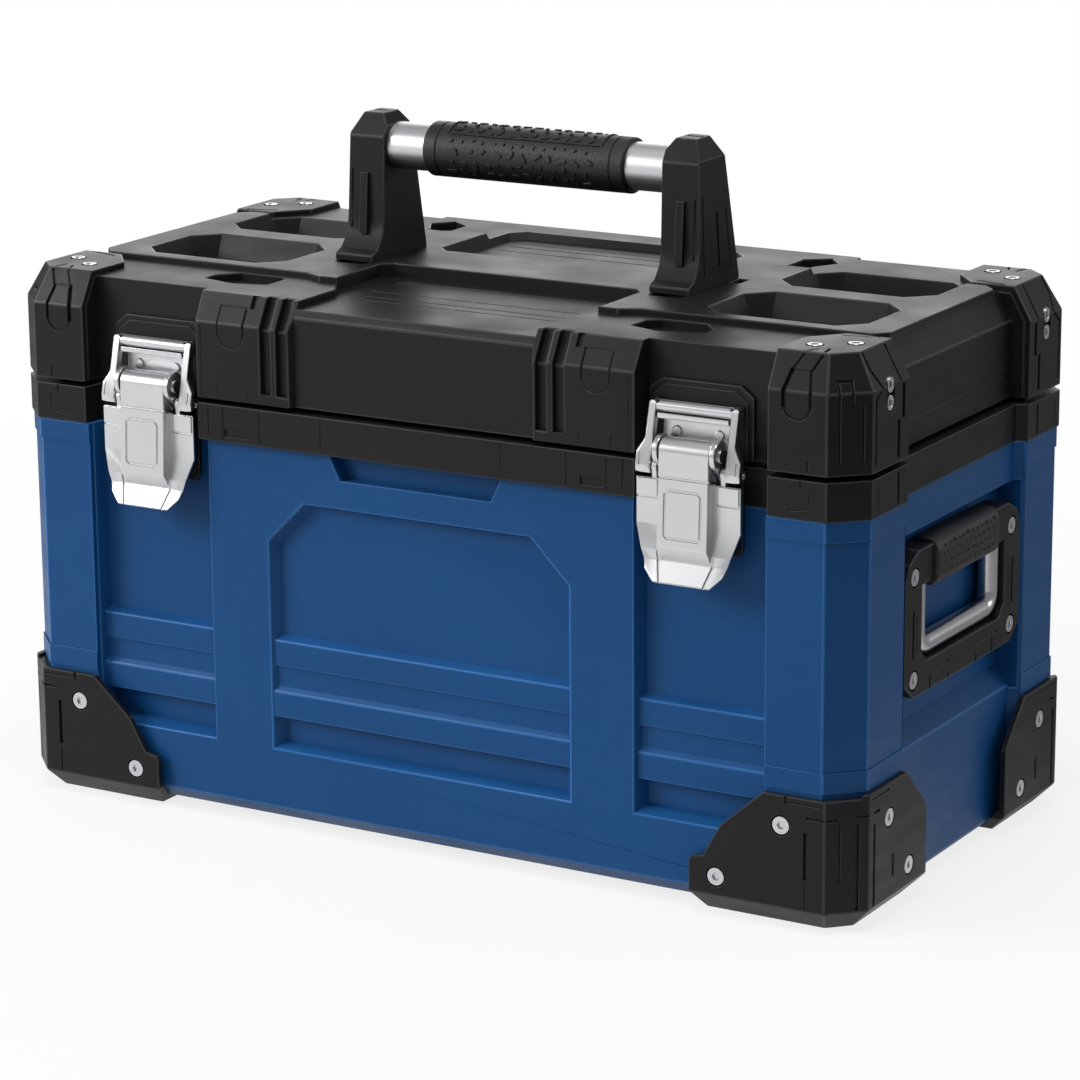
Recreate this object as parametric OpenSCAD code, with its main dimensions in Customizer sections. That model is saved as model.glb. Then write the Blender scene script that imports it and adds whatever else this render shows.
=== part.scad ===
// Hard tool case: a moulded body with an arched front, a hinged lid with a carrying
// handle, and two draw latches. Millimetres, +Z up, +X along the case, latches on -Y.
// The origin is the centre of the footprint, on the floor.

/* [Case body] */
// Length over the rim band
rim_length = 560; // [540:1:600]
// Depth over the rim band
rim_depth = 287.2; // [275:0.1:310]
// Chamfer of each upright corner, seen from above
corner_cut = 18.5; // [14:0.5:22]
// Height of the underside of the blue body
body_bottom = 5; // [3:0.5:8]
// Height of the top edge of the blue body
body_top = 232; // [226:1:250]
// How far the blue corner pods stand behind the rim band
pod_inset = 1.5; // [0.8:0.1:2.5]
// Thickness of the body's floor
floor_t = 4; // [3:0.5:7]
// Wall thickness of the body behind its deepest relief
wall_t = 4.6; // [3:0.1:7]
// Wall thickness inside the corner pods
pod_wall = 8; // [7:0.5:12]
// Slope of the body's underside edge, seen from the end
underside_cut = 11; // [6:0.5:14]

/* [Body relief] */
// Half width of the raised front panel
panel_half = 140; // [130:1:145]
// How far the front panel stands behind the corner pods
panel_set = 3.1; // [2:0.1:4]
// Where the latch bay meets the corner pod, from the middle of the case
bay_outer = 225; // [220:1:228]
// How far the latch bays stand behind the corner pods
bay_set = 12; // [9:0.5:14]
// Slant of the bay and arch side walls
relief_slant = 6; // [3:0.5:8]
// Half width of the arched recess
arch_half = 101; // [90:1:110]
// Top of the arched recess
arch_top = 200; // [190:1:205]
// Chamfer across the arch's upper corners
arch_cut = 25; // [15:1:32]
// Bottom of the arched recess and of the bay ribs
relief_bottom = 48.8; // [40:0.1:52]
// Top edge of the upper rib
rib_top = 118; // [112:0.5:124]
// Distance from one rib to the next
rib_pitch = 31; // [28:0.5:33]
// Height of a rib's face
rib_face = 15.5; // [12:0.5:18]
// How far a rib stands out of the recess
rib_out = 5; // [3:0.5:6]
// Half width of the thumb notch under the rim
thumb_half = 58; // [45:1:65]
// Height of the thumb notch
thumb_high = 15; // [10:0.5:20]
// Gap between an end handle's frame and the corner pods beside it
frame_gap = 3.1; // [2.5:0.1:10]
// How far the end wall's bands stand behind the corner pods
side_set = 6.5; // [4:0.5:8]
// How far the end recess stands behind the corner pods
end_set = 16.5; // [14:0.5:18]
// Bottom of the end recess
end_low = 88; // [84:0.5:104]
// Top of the end recess
end_high = 205; // [204:0.5:212]
// Height of the collar round each pod
collar_high = 12; // [8:0.5:16]
// How far the collar stands out of the pod
collar_out = 0.7; // [0.3:0.1:1]

/* [Rim band and seal] */
// Height of the rim band
rim_high = 22; // [18:0.5:28]
// Half width of the rim band's middle length
rim_mid_half = 145; // [142:1:148]
// How far the rim's end length stands back
rim_side_set = 7; // [5:0.5:9]
// Width of the rim's land inside the body's wall
rim_land = 6.5; // [5:0.5:9]
// How far the rim laps down inside the body
rim_lap = 10; // [6:0.5:14]
// Width of the seal
seal_wide = 5; // [4:0.5:6]
// Depth of the seal's groove
seal_deep = 4; // [3:0.5:6]

/* [Lid] */
// Shadow gap between the rim band and the lid
lid_gap = 3; // [2.5:0.1:4]
// Height of the lid from its lower edge to its top
lid_high = 65; // [60:0.5:75]
// Height of the lid's upright faces
lid_upright = 45; // [41.5:0.5:48]
// How far the lid's bevel goes in at the top
lid_bevel = 11; // [8:0.5:14]
// Height of the raised top over its border
plateau_high = 3.5; // [2:0.1:4]
// Thickness of the lid's skin
lid_t = 3.5; // [3:0.1:5]
// Thickness of a corner cap
cap_t = 4; // [3:0.1:5]
// Half width of the lid's middle slab
slab_half = 79; // [70:1:80]
// How far the middle slab stands behind the pods
slab_set = 4; // [2.5:0.1:5]
// How far the lid's end faces stand behind the caps
lid_side_set = 12; // [8:0.5:13]
// How far the lid's latch bays stand behind the pods
lid_bay_set = 15.6; // [14.5:0.1:16]
// Depth of the small compartments
tub_deep = 14; // [10:0.5:18]
// Inner edge of the compartments, from the middle
tub_inner = 142; // [139:1:150]
// Outer edge of the compartments, from the middle
tub_outer = 241; // [230:1:243]
// Depth of the shallow trays
tray_deep = 8; // [5:0.5:10]
// Half width of the rear tray
tray_half = 84; // [70:1:88]

/* [Corner protectors] */
// Thickness of a protector over the pod
guard_t = 3.8; // [3:0.1:5]
// Height of a protector
guard_high = 77; // [74:1:78]
// Length of a protector along the front
guard_long = 102.3; // [98:0.1:104]
// Length of a protector along the end
guard_side = 91.9; // [84:0.1:94]
// Chamfer under a protector
guard_cut = 12; // [8:0.5:13]

/* [Screws] */
// Radius of a screw head
head_r = 4.3; // [3.5:0.1:5]
// Height of a screw head
head_h = 2.2; // [1.6:0.1:2.6]
// Radius of a screw's shank
shank_r = 2; // [1.5:0.1:2.4]
// Key size of the hexagon socket
socket_key = 3.6; // [3:0.1:4]
// Radius of the counterbore round a head
sink_r = 6; // [5.5:0.1:6.6]

/* [Top handle] */
// Distance between the inner faces of the two towers
tower_gap = 187; // [180:1:196]
// Width of a tower
tower_wide = 26; // [22:0.5:27]
// Height of the towers over the lid
tower_high = 86; // [80:1:100]
// Radius of the tube
tube_r = 14; // [12:0.2:15]
// Wall of the tube
tube_t = 1.8; // [1.5:0.1:2.5]
// Height of the tube's centre over the lid
tube_z = 66; // [62:0.5:68]
// Length of the grip
grip_long = 135; // [110:1:150]
// Thickness of the grip's rubber
grip_t = 2.3; // [1.5:0.1:3]

/* [End handles] */
// Length of the handle's frame
frame_long = 155; // [146:1:158]
// Height of the frame
frame_high = 84; // [78:1:85]
// Height of the frame's lower edge
frame_low = 116; // [113:0.5:117]
// Depth of the frame
frame_deep = 16; // [14:0.5:18]
// Length of the window
window_long = 111; // [100:1:112]
// Height of the window
window_high = 45; // [40:0.5:50]
// Height of the frame's lower bar
lower_bar = 18; // [16:0.5:20]
// Radius of the metal loop
loop_r = 6; // [4:0.1:6.4]

/* [Latches] */
// Distance from the middle of the case to a latch
latch_x = 179.3; // [178:0.1:182]
// Width over a latch's wings
latch_wide = 64; // [63:0.5:66]
// Half width of the latch's raised middle
hump_half = 15.4; // [14.5:0.1:15.5]
// Thickness of the latch's sheet
sheet_t = 2; // [1.6:0.1:2.2]
// Radius of the lever's rolled top
roll_r = 7.5; // [7:0.1:7.8]
// Radius of the lever's pivot pin
pivot_r = 2.2; // [1.8:0.1:2.4]
// Distance from the lever's pivot down to the bail's pivot
bail_drop = 10; // [9.5:0.1:10.5]
// Distance from the bail's pivot up to its bar
bail_rise = 32.3; // [31.5:0.1:33]
// Radius of the bail's bar
bar_r = 3.35; // [3:0.05:3.5]
// Height of the bead that keeps the bar on its ledge
bead_high = 0.5; // [0.3:0.05:0.55]
// Thickness of the plastic mount under each half of a latch
mount_t = 3; // [2.5:0.1:3.2]

/* [Hinges] */
// Distance from the middle of the case to a hinge
hinge_x = 113; // [110:0.5:114]
// Width of a hinge
hinge_wide = 56; // [48:1:58]
// Radius of a knuckle
knuckle_r = 4.9; // [4.5:0.1:5]
// Radius of the hinge pin
hinge_pin_r = 2; // [1.6:0.1:2.4]
// Thickness of a leaf
leaf_t = 2.6; // [2:0.1:3]

/* [Clearances] */
// Radial clearance of a pin in its bore
pin_gap = 0.05; // [0.03:0.01:0.08]
// Gap between a soft piece and its seat
soft_gap = 0.3; // [0.2:0.05:0.4]
// Gap between the sides of pieces that move past each other
side_gap = 0.6; // [0.4:0.05:0.7]

/* [Hidden] */
$fn = 48;

far = 400;
BLUE = "#244e80";
BLACK = "#1d1d1f";
STEEL = "#c9ccd0";

// Half sizes of the plan at each level
rim_x = rim_length / 2;
rim_y = rim_depth / 2;
shell_x = rim_x - pod_inset;
shell_y = rim_y - pod_inset;
panel_y = shell_y - panel_set;
bay_y = shell_y - bay_set;
side_x = shell_x - side_set;
end_x = shell_x - end_set;
cavity_x = end_x - wall_t;
cavity_y = bay_y - wall_t;
guard_x = shell_x + guard_t;
guard_y = shell_y + guard_t;
side_pod = frame_long / 2 + frame_gap;
bay_inner = rim_mid_half;
guard_side_high = guard_high + 2;

// Heights
rim_top = body_top + rim_high;
lid_z = rim_top + lid_gap;
lid_top = lid_z + lid_high;
border_z = lid_top - plateau_high;
border_bevel = lid_bevel - 1.9;
cavity_floor = body_bottom + floor_t;

// Latch: the lever's pivot, the bail's pivot and the bar, as [y, z]
base_front = bay_y + mount_t;
pivot_y = -(base_front + 10.4);
pivot_z = lid_z + 4.5;
bail_y = pivot_y + 1;
bail_z = pivot_z - bail_drop;
bar_y = bail_y + 6.5;
bar_z = bail_z + bail_rise;
panel_front = pivot_y - roll_r;
sheet_front = pivot_y - 5.1;
wing_front = pivot_y - 1.9;
lip_z = pivot_z - 73;
lip_y = pivot_y - 10.4;
wing_top = bail_z - 6;
ear_in = hump_half + side_gap;
ear_out = ear_in + 3;
lug_in = ear_out + side_gap;
lug_out = lug_in + 3;
leg_in = lug_out + 0.4;
leg_top_out = leg_in + 4.4;
lid_bay_y = rim_y - lid_bay_set;
pad_front = lid_bay_y + mount_t + 0.5;
ledge_z = bar_z - bar_r - soft_gap;

// Hinge axis, as [y, z]
hinge_y = rim_y + knuckle_r + 0.5;
hinge_z = rim_top + lid_gap / 2;

// Top handle
tower_in = tower_gap / 2;
tower_out = tower_in + tower_wide;
tube_y = -2;
tube_up = lid_top + tube_z;

// End handle
frame_back = end_x;
frame_front = end_x + frame_deep;
window_low = frame_low + lower_bar;
window_top = window_low + window_high;
frame_top = frame_low + frame_high;
end_screw_y = frame_long / 2 - 12.5;
end_screw_z = [frame_low + 10.5, frame_top - 14.5];

// ---------- Shared shapes ----------

// The other three quarters of a plan outline that is given for +X, -Y
function ring(q) = concat(q,
    [for (i = [len(q) - 1:-1:0]) [q[i][0], -q[i][1]]],
    [for (p = q) [-p[0], -p[1]]],
    [for (i = [len(q) - 1:-1:0]) [-q[i][0], q[i][1]]]);

module octagon(x, y, cut) {
    polygon(ring([[x - cut, -y], [x, -(y - cut)]]));
}

module slab(low, high) {
    translate([0, 0, low]) linear_extrude(high - low) children();
}

// A [y, z] outline swept along X, from x = a to x = b
module sweep_x(a, b) {
    translate([a, 0, 0]) rotate([90, 0, 90]) linear_extrude(b - a) children();
}

// An [x, z] outline swept along Y, from y = a to y = b
module sweep_y(a, b) {
    translate([0, b, 0]) rotate([90, 0, 0]) linear_extrude(b - a) children();
}

// Distance from the middle to the chamfer of an upright corner
function facet_out(x, y, cut) = (x + y - cut) / sqrt(2);

module bevelled_outline(half, low, upright, top, bevel) {
    polygon([[-half, low - 1], [half, low - 1], [half, upright], [half - bevel, top + 0.01],
        [-(half - bevel), top + 0.01], [-half, upright]]);
}

// A block with half sizes x and y whose upper edges slope in
module bevelled_block(x, y, low, upright, top, bevel, cut) {
    facet = facet_out(x, y, cut);
    intersection() {
        slab(low, top) octagon(x, y, cut);
        sweep_x(-far, far) bevelled_outline(y, low, upright, top, bevel);
        sweep_y(-far, far) bevelled_outline(x, low, upright, top, bevel);
        rotate([0, 0, 45]) sweep_y(-far, far)
            bevelled_outline(facet, low, upright, top, bevel);
        rotate([0, 0, -45]) sweep_y(-far, far)
            bevelled_outline(facet, low, upright, top, bevel);
    }
}

// A block with half sizes x and y whose lower edges slope in
module footed_block(x, y, low, high, foot, cut) {
    facet = facet_out(x, y, cut);
    intersection() {
        slab(low, high) octagon(x, y, cut);
        sweep_x(-far, far) footed_outline(y, low, high, foot);
        sweep_y(-far, far) footed_outline(x, low, high, foot);
        rotate([0, 0, 45]) sweep_y(-far, far) footed_outline(facet, low, high, foot);
        rotate([0, 0, -45]) sweep_y(-far, far) footed_outline(facet, low, high, foot);
    }
}

module footed_outline(half, low, high, foot) {
    polygon([[-(half - foot), low - 0.01], [half - foot, low - 0.01], [half, low + foot],
        [half, high + 1], [-half, high + 1], [-half, low + foot]]);
}

// Copies of what is made for the front right corner, at all four corners
module each_corner() {
    for (sx = [0, 1])
        for (sy = [0, 1])
            mirror([sx, 0, 0]) mirror([0, sy, 0]) children();
}

module each_end() {
    for (sx = [0, 1])
        mirror([sx, 0, 0]) children();
}

// Moves what is made for the front right corner to the named corner
module corner(sx, sy) {
    mirror([sx < 0 ? 1 : 0, 0, 0]) mirror([0, sy > 0 ? 1 : 0, 0]) children();
}

// A socket screw whose head sits at the origin, with its shank along -Z
module screw(long, r = head_r, h = head_h, shank = shank_r) {
    difference() {
        union() {
            cylinder(r = r, h = h);
            translate([0, 0, -long]) cylinder(r = shank, h = long);
        }
        translate([0, 0, h - 1.4]) cylinder(r = socket_key / sqrt(3), h = 2, $fn = 6);
    }
}

// The hole that the shank of a screw goes into
module screw_hole(long, shank = shank_r) {
    translate([0, 0, -long - 0.3]) cylinder(r = shank + pin_gap, h = long + 1.3);
}

// Stands a child that points along +Z on a front face at [x, y, z]
module on_front(x, y, z) {
    translate([x, -y, z]) rotate([90, 0, 0]) children();
}

// The same on a right-hand face
module on_end(x, y, z) {
    translate([x, y, z]) rotate([0, 90, 0]) children();
}

// The same on a rear face
module on_rear(x, y, z) {
    translate([x, y, z]) rotate([-90, 0, 0]) children();
}

// ---------- Case body ----------

// The hollow in front of a rib relief, as a [y, z] outline for the front face
module rib_hollow(face, top) {
    rib = face + rib_out;
    low = rib_top - rib_pitch;
    polygon([[-far, top], [-face, top], [-face, rib_top], [-rib, rib_top - 3],
        [-rib, rib_top - 3 - rib_face], [-(rib - 1.6), rib_top - 3 - rib_face],
        [-(rib - 1.6), low], [-(rib + 1), low - 3], [-(rib + 1), low - 3 - rib_face],
        [-(face - 1), low - 3 - rib_face], [-(face - 1), relief_bottom + 4],
        [-panel_y, relief_bottom], [-far, relief_bottom]]);
}

module latch_bay_hollow() {
    intersection() {
        sweep_x(panel_half, bay_outer) rib_hollow(bay_y, far);
        hull() {
            translate([0, -shell_y - 1, 0]) sweep_y(-0.1, 0)
                polygon([[panel_half, 0], [bay_outer, 0], [bay_outer, far], [panel_half, far]]);
            translate([0, -bay_y + 1.2, 0]) sweep_y(-0.1, 0)
                polygon([[panel_half + relief_slant, 0], [bay_outer - relief_slant / 2, 0],
                    [bay_outer - relief_slant / 2, far], [panel_half + relief_slant, far]]);
        }
    }
}

function arch_outline(half, top, cut) = [[-half, 30], [half, 30], [half, top - cut],
    [half - cut, top], [-(half - cut), top], [-half, top - cut]];

module arch_hollow() {
    arch_face = bay_y + 2;
    intersection() {
        sweep_x(-arch_half, arch_half) rib_hollow(arch_face, far);
        hull() {
            translate([0, -panel_y, 0]) sweep_y(-0.1, 0)
                polygon(arch_outline(arch_half, arch_top, arch_cut));
            translate([0, -arch_face + 1.2, 0]) sweep_y(-0.1, 0)
                polygon(arch_outline(arch_half - relief_slant, arch_top - 3, arch_cut));
        }
    }
}

module thumb_notch() {
    sweep_y(-far, -(panel_y - 9)) polygon([[-thumb_half, body_top + 1],
        [-(thumb_half - 8), body_top - thumb_high], [thumb_half - 8, body_top - thumb_high],
        [thumb_half, body_top + 1]]);
}

module end_hollow() {
    slab(-far, far) polygon([[far, -side_pod], [shell_x + 1, -side_pod],
        [side_x, -(side_pod - 4)], [side_x, side_pod - 4], [shell_x + 1, side_pod],
        [far, side_pod]]);
    sweep_y(-(side_pod - 1), side_pod - 1) polygon([[side_x + 1, end_low - 4],
        [end_x, end_low + 8], [end_x, end_high], [side_x + 1, end_high + 4],
        [far, end_high + 4], [far, end_low - 4]]);
}

module pod_collars() {
    intersection() {
        union() {
            slab(body_top - collar_high, body_top)
                octagon(shell_x + collar_out, shell_y + collar_out, corner_cut);
            slab(guard_side_high + 0.5, guard_side_high + 0.5 + collar_high)
                octagon(shell_x + collar_out, shell_y + collar_out, corner_cut);
        }
        each_corner() translate([bay_outer, -far, 0]) cube([far, far - side_pod, far]);
    }
}

module body_cavity() {
    slab(cavity_floor, body_top + 1) {
        square([2 * cavity_x, 2 * cavity_y], center = true);
        each_corner() intersection() {
            translate([bay_outer + pod_wall, -(shell_y - pod_wall)])
                square([shell_x - bay_outer - 2 * pod_wall, shell_y - side_pod - 2 * pod_wall]);
            octagon(shell_x - pod_wall, shell_y - pod_wall, corner_cut);
        }
    }
}

// Places of a protector's screws: [distance along the face, height]
function guard_front_screws() = [[guard_x - 45.3, 59.5], [guard_x - 85.3, 23]];
function guard_side_screws() = [[guard_y - 43.4, 59], [guard_y - 69.4, 23.5]];

module guard_screw_places() {
    for (p = guard_front_screws())
        on_front(p[0], guard_y - sink_deep, p[1]) children();
    for (p = guard_side_screws())
        on_end(guard_x - sink_deep, -p[0], p[1]) children();
}
sink_deep = head_h + 0.2;
guard_screw_long = 10;

module end_screw_places() {
    for (y = [-end_screw_y, end_screw_y])
        for (z = end_screw_z)
            on_end(frame_front - sink_deep, y, z) children();
}
end_screw_long = frame_deep + 1;

module latch_base_screw_places() {
    for (x = [-1, 1])
        for (z = [-36, -22])
            on_front(x * latch_x, base_front + sheet_t, pivot_z + z) children();
}
latch_screw_long = mount_t + sheet_t + 3.4;

module case_shell() {
    color(BLUE) difference() {
        union() {
            footed_block(shell_x, shell_y, body_bottom, body_top, underside_cut, corner_cut);
            pod_collars();
        }
        for (s = [0, 1])
            mirror([0, s, 0]) {
                translate([-bay_outer, -far, 0]) cube([2 * bay_outer, far - panel_y, far]);
                for (t = [0, 1])
                    mirror([t, 0, 0]) latch_bay_hollow();
                arch_hollow();
            }
        thumb_notch();
        each_end() end_hollow();
        body_cavity();
        each_corner() guard_screw_places() screw_hole(guard_screw_long);
        each_end() end_screw_places() screw_hole(end_screw_long);
        latch_base_screw_places() screw_hole(latch_screw_long);
    }
}

// ---------- Rim band and seal ----------

rim_in_x = cavity_x - rim_land;
rim_in_y = cavity_y - rim_land;
seal_x = rim_in_x + 2 + seal_wide;
seal_y = rim_in_y + 2 + seal_wide;

module frame_ring(x, y, wide) {
    difference() {
        square([2 * x, 2 * y], center = true);
        square([2 * (x - wide), 2 * (y - wide)], center = true);
    }
}

module rim_plan() {
    polygon(ring([[bay_inner, -rim_y], [bay_inner + 1, -bay_y], [bay_outer, -bay_y],
        [bay_outer + 1, -rim_y], [rim_x - corner_cut, -rim_y],
        [rim_x, -(rim_y - corner_cut)], [rim_x, -side_pod],
        [rim_x - rim_side_set, -(side_pod - 3)]]));
}

module rim_band() {
    color(BLACK) difference() {
        union() {
            slab(body_top, rim_top) rim_plan();
            slab(body_top - rim_lap, body_top)
                square([2 * (cavity_x - soft_gap), 2 * (cavity_y - soft_gap)], center = true);
        }
        slab(body_top - rim_lap - 1, rim_top + 1)
            square([2 * rim_in_x, 2 * rim_in_y], center = true);
        slab(rim_top - seal_deep, rim_top + 1) frame_ring(seal_x, seal_y, seal_wide);
        latch_base_screw_places() screw_hole(latch_screw_long);
        hinge_screw_places(hinge_lower_screw_z) screw_hole(hinge_screw_long);
    }
}

module lid_seal() {
    color("#101010") slab(rim_top - seal_deep, lid_z - soft_gap)
        frame_ring(seal_x - soft_gap, seal_y - soft_gap, seal_wide - 2 * soft_gap);
}

// ---------- Corner protectors ----------

module guard_outline_front() {
    in = guard_x - guard_long;
    polygon([[far, -1], [in + 6.5, -1], [in, guard_cut + 1], [in, 30], [in + 1.5, 33],
        [in + 9, 34.5], [in + 20, guard_high - 23], [in + 46, guard_high], [far, guard_high]]);
}

module guard_outline_side() {
    in = guard_y - guard_side;
    polygon([[-far, -1], [-(in + 10), -1], [-in, 10], [-in, guard_high - 24],
        [-(in + 27), guard_side_high], [-far, guard_side_high]]);
}

// The protector of the front right corner
module guard() {
    back_x = side_x + 0.2;
    back_y = panel_y + 0.2;
    color(BLACK) difference() {
        intersection() {
            footed_block(guard_x, guard_y, 0, guard_side_high, guard_cut, corner_cut);
            union() {
                sweep_y(-far, -(shell_y - 0.01)) guard_outline_front();
                intersection() {
                    sweep_y(-far, -back_y) guard_outline_front();
                    translate([0, -far, 8]) cube([bay_outer - 1.2, far, far]);
                }
                sweep_x(shell_x - 0.01, far) guard_outline_side();
                intersection() {
                    sweep_x(back_x, far) guard_outline_side();
                    translate([0, -(side_pod - 4.2), 8]) cube([far, far, far]);
                }
                intersection() {
                    sweep_y(-far, 0) guard_outline_front();
                    sweep_x(0, far) guard_outline_side();
                    union() {
                        slab(-1, body_bottom + underside_cut) square(2 * far, center = true);
                        slab(-1, far) translate([shell_x - corner_cut - 1, -far])
                            square([far, far - shell_y + corner_cut + 1]);
                    }
                }
            }
        }
        footed_block(shell_x, shell_y, body_bottom, far, underside_cut, corner_cut);
        guard_screw_places() screw_hole(guard_screw_long);
        guard_screw_places() cylinder(r = sink_r, h = 10);
    }
}

module protector_screws() {
    color(STEEL) each_corner() guard_screw_places() screw(guard_screw_long);
}

// ---------- End handles ----------

module end_frame_outline() {
    half = frame_long / 2;
    polygon([[-half + 12, frame_low], [half - 12, frame_low], [half, frame_low + 9],
        [half, frame_top - 16], [half - 5, frame_top - 6], [half - 17, frame_top],
        [-half + 17, frame_top], [-half + 5, frame_top - 6], [-half, frame_top - 16],
        [-half, frame_low + 9]]);
}

module end_frame() {
    half = window_long / 2;
    grip_half = end_grip_half + soft_gap;
    color(BLACK) difference() {
        sweep_x(frame_back, frame_front) end_frame_outline();
        sweep_x(frame_back - 1, frame_front + 1) polygon([[-half + 7, window_low],
            [half - 7, window_low], [half, window_low + 7], [half, window_top],
            [-half, window_top], [-half, window_low + 7]]);
        translate([frame_back - 1, -grip_half, window_top - 1])
            cube([7, 2 * grip_half, frame_top - window_top + 2]);
        translate([frame_front - 3, -grip_half, window_top - 1])
            cube([far, 2 * grip_half, far]);
        translate([frame_back, -grip_half, frame_top - 3]) cube([far, 2 * grip_half, far]);
        end_screw_places() screw_hole(end_screw_long);
        end_screw_places() cylinder(r = sink_r, h = 10);
        end_loop_ends() cylinder(r = loop_r + pin_gap, h = 6 + pin_gap);
    }
}

loop_y = window_long / 2 - loop_r - soft_gap;
loop_z = window_low + loop_r + soft_gap;
loop_x = frame_back + frame_deep / 2;
loop_bend = 10;
loop_wall = 1.6;
end_grip_half = loop_y - loop_r - loop_wall;

// The two sockets that the loop's upper ends go into
module end_loop_ends() {
    for (s = [-1, 1])
        translate([loop_x, s * loop_y, window_top]) children();
}

module end_loop() {
    color(STEEL) {
        end_loop_ends() cylinder(r = loop_r, h = 5.8);
        for (s = [0, 1])
            mirror([0, s, 0]) {
                translate([loop_x, loop_y, loop_z + loop_bend])
                    cylinder(r = loop_r, h = window_top - loop_z - loop_bend);
                translate([loop_x, loop_y - loop_bend, loop_z + loop_bend])
                    rotate([0, 90, 0]) rotate_extrude(angle = 90)
                        translate([loop_bend, 0]) circle(r = loop_r);
            }
        translate([loop_x, loop_y - loop_bend, loop_z]) rotate([90, 0, 0])
            cylinder(r = loop_r, h = 2 * (loop_y - loop_bend));
    }
}

// The rubber sleeve on the frame's upper bar
module end_grip() {
    gap = soft_gap;
    half = end_grip_half;
    low = window_top - 4;
    bar_back = frame_back + 6;
    bar_front = frame_front - 3;
    color("#151516") difference() {
        sweep_y(-half, half) polygon([[frame_back + 1, low + 3], [frame_back + 4, low],
            [frame_front - 1, low], [frame_front + 2.8, low + 4],
            [frame_front + 2.8, frame_top - 3], [frame_front - 1, frame_top + 2.5],
            [frame_back + 4, frame_top + 2.5], [frame_back + 1, frame_top]]);
        translate([bar_back - gap, -far / 2, window_top - gap])
            cube([bar_front - bar_back + 2 * gap, far, frame_top - 3 - window_top + 2 * gap]);
    }
}

module end_screws() {
    color(STEEL) each_end() end_screw_places() screw(end_screw_long);
}

// ---------- Latch, lower half ----------

module latch_mount() {
    color(BLACK) difference() {
        sweep_y(-base_front, -bay_y) polygon([[-24, pivot_z - 58.5], [24, pivot_z - 58.5],
            [27, pivot_z - 54], [27, rim_top - 2], [-27, rim_top - 2], [-27, pivot_z - 54]]);
        translate([-latch_x, 0, 0]) latch_base_screw_places() screw_hole(latch_screw_long);
    }
}

// The steel bracket with the two round ears that carry the lever's pin
module latch_base() {
    color(STEEL) difference() {
        union() {
            sweep_y(-(base_front + sheet_t), -base_front) polygon([[-ear_out, pivot_z - 50],
                [ear_out, pivot_z - 50], [ear_out, rim_top - 3], [-ear_out, rim_top - 3]]);
            for (s = [0, 1])
                mirror([s, 0, 0]) {
                    sweep_x(ear_in, ear_out) polygon([[-base_front, pivot_z - 34],
                        [pivot_y + 4, pivot_z - 24], [pivot_y + 3, pivot_z - 14],
                        [pivot_y - 5.8, pivot_z - 6],
                        [pivot_y, pivot_z], [pivot_y + 8, pivot_z - 3],
                        [-base_front, rim_top - 3]]);
                    sweep_x(ear_in, ear_out) translate([pivot_y, pivot_z]) circle(r = 8.5);
                }
        }
        sweep_x(-far, far) translate([pivot_y, pivot_z]) circle(r = pivot_r + pin_gap);
        translate([-latch_x, 0, 0]) latch_base_screw_places() screw_hole(latch_screw_long);
    }
}

module latch_base_screws() {
    color(STEEL) latch_base_screw_places() screw(latch_screw_long, 4, 2);
}

module lever_pins() {
    color(STEEL) for (x = [-1, 1])
        translate([x * latch_x, 0, 0]) {
            sweep_x(-ear_out, ear_out) translate([pivot_y, pivot_z]) circle(r = pivot_r);
            for (s = [0, 1])
                mirror([s, 0, 0]) sweep_x(ear_out, ear_out + 1)
                    translate([pivot_y, pivot_z]) circle(r = pivot_r + 1.6);
        }
}

// ---------- Latch, moving parts ----------

function wing_outline() = let (w = latch_wide / 2) [[-w, wing_top], [-w, lip_z + 30.5],
    [-(w - 8), lip_z + 7], [-(w - 15.5), lip_z - 0.5], [w - 15.5, lip_z - 0.5],
    [w - 8, lip_z + 7], [w, lip_z + 30.5], [w, wing_top]];

module lever_sheet() {
    intersection() {
        sweep_x(-latch_wide / 2, latch_wide / 2) polygon([[wing_front, wing_top],
            [wing_front, lip_z + 31], [sheet_front, lip_z + 18], [sheet_front, lip_z + 12],
            [lip_y, lip_z + 0.8], [lip_y + 1.3, lip_z - 0.2],
            [sheet_front + sheet_t, lip_z + 11], [sheet_front + sheet_t, lip_z + 18],
            [wing_front + sheet_t, lip_z + 31], [wing_front + sheet_t, wing_top]]);
        sweep_y(-far, far) polygon(wing_outline());
    }
}

module lever_hump() {
    foot = sheet_front + sheet_t;
    low = lip_z + 13;
    front = [[panel_front, pivot_z], [panel_front - 0.2, pivot_z - 13.7],
        [panel_front - 2.2, lip_z + 21], [sheet_front, low]];
    sweep_x(-hump_half, hump_half) polygon(concat(front, [[foot, low], [foot, low + 8],
        [panel_front + sheet_t - 0.2, pivot_z - 13.7], [panel_front + sheet_t, pivot_z]]));
    for (s = [0, 1])
        mirror([s, 0, 0]) sweep_x(hump_half - sheet_t, hump_half)
            polygon(concat(front, [[foot, low], [pivot_y + 2.5, low + 6],
                [pivot_y + 2.5, pivot_z]]));
    sweep_x(-hump_half, hump_half) translate([pivot_y, pivot_z]) circle(r = roll_r);
}

module lever_lug() {
    sweep_x(lug_in, lug_out) {
        translate([bail_y, bail_z]) circle(r = 3.4);
        polygon([[bail_y - 3, bail_z - 1.6], [bail_y + 3, bail_z - 1.6],
            [wing_front + sheet_t, wing_top - 10], [wing_front + 0.5, wing_top - 10],
            [wing_front + 0.5, wing_top]]);
    }
}

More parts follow.
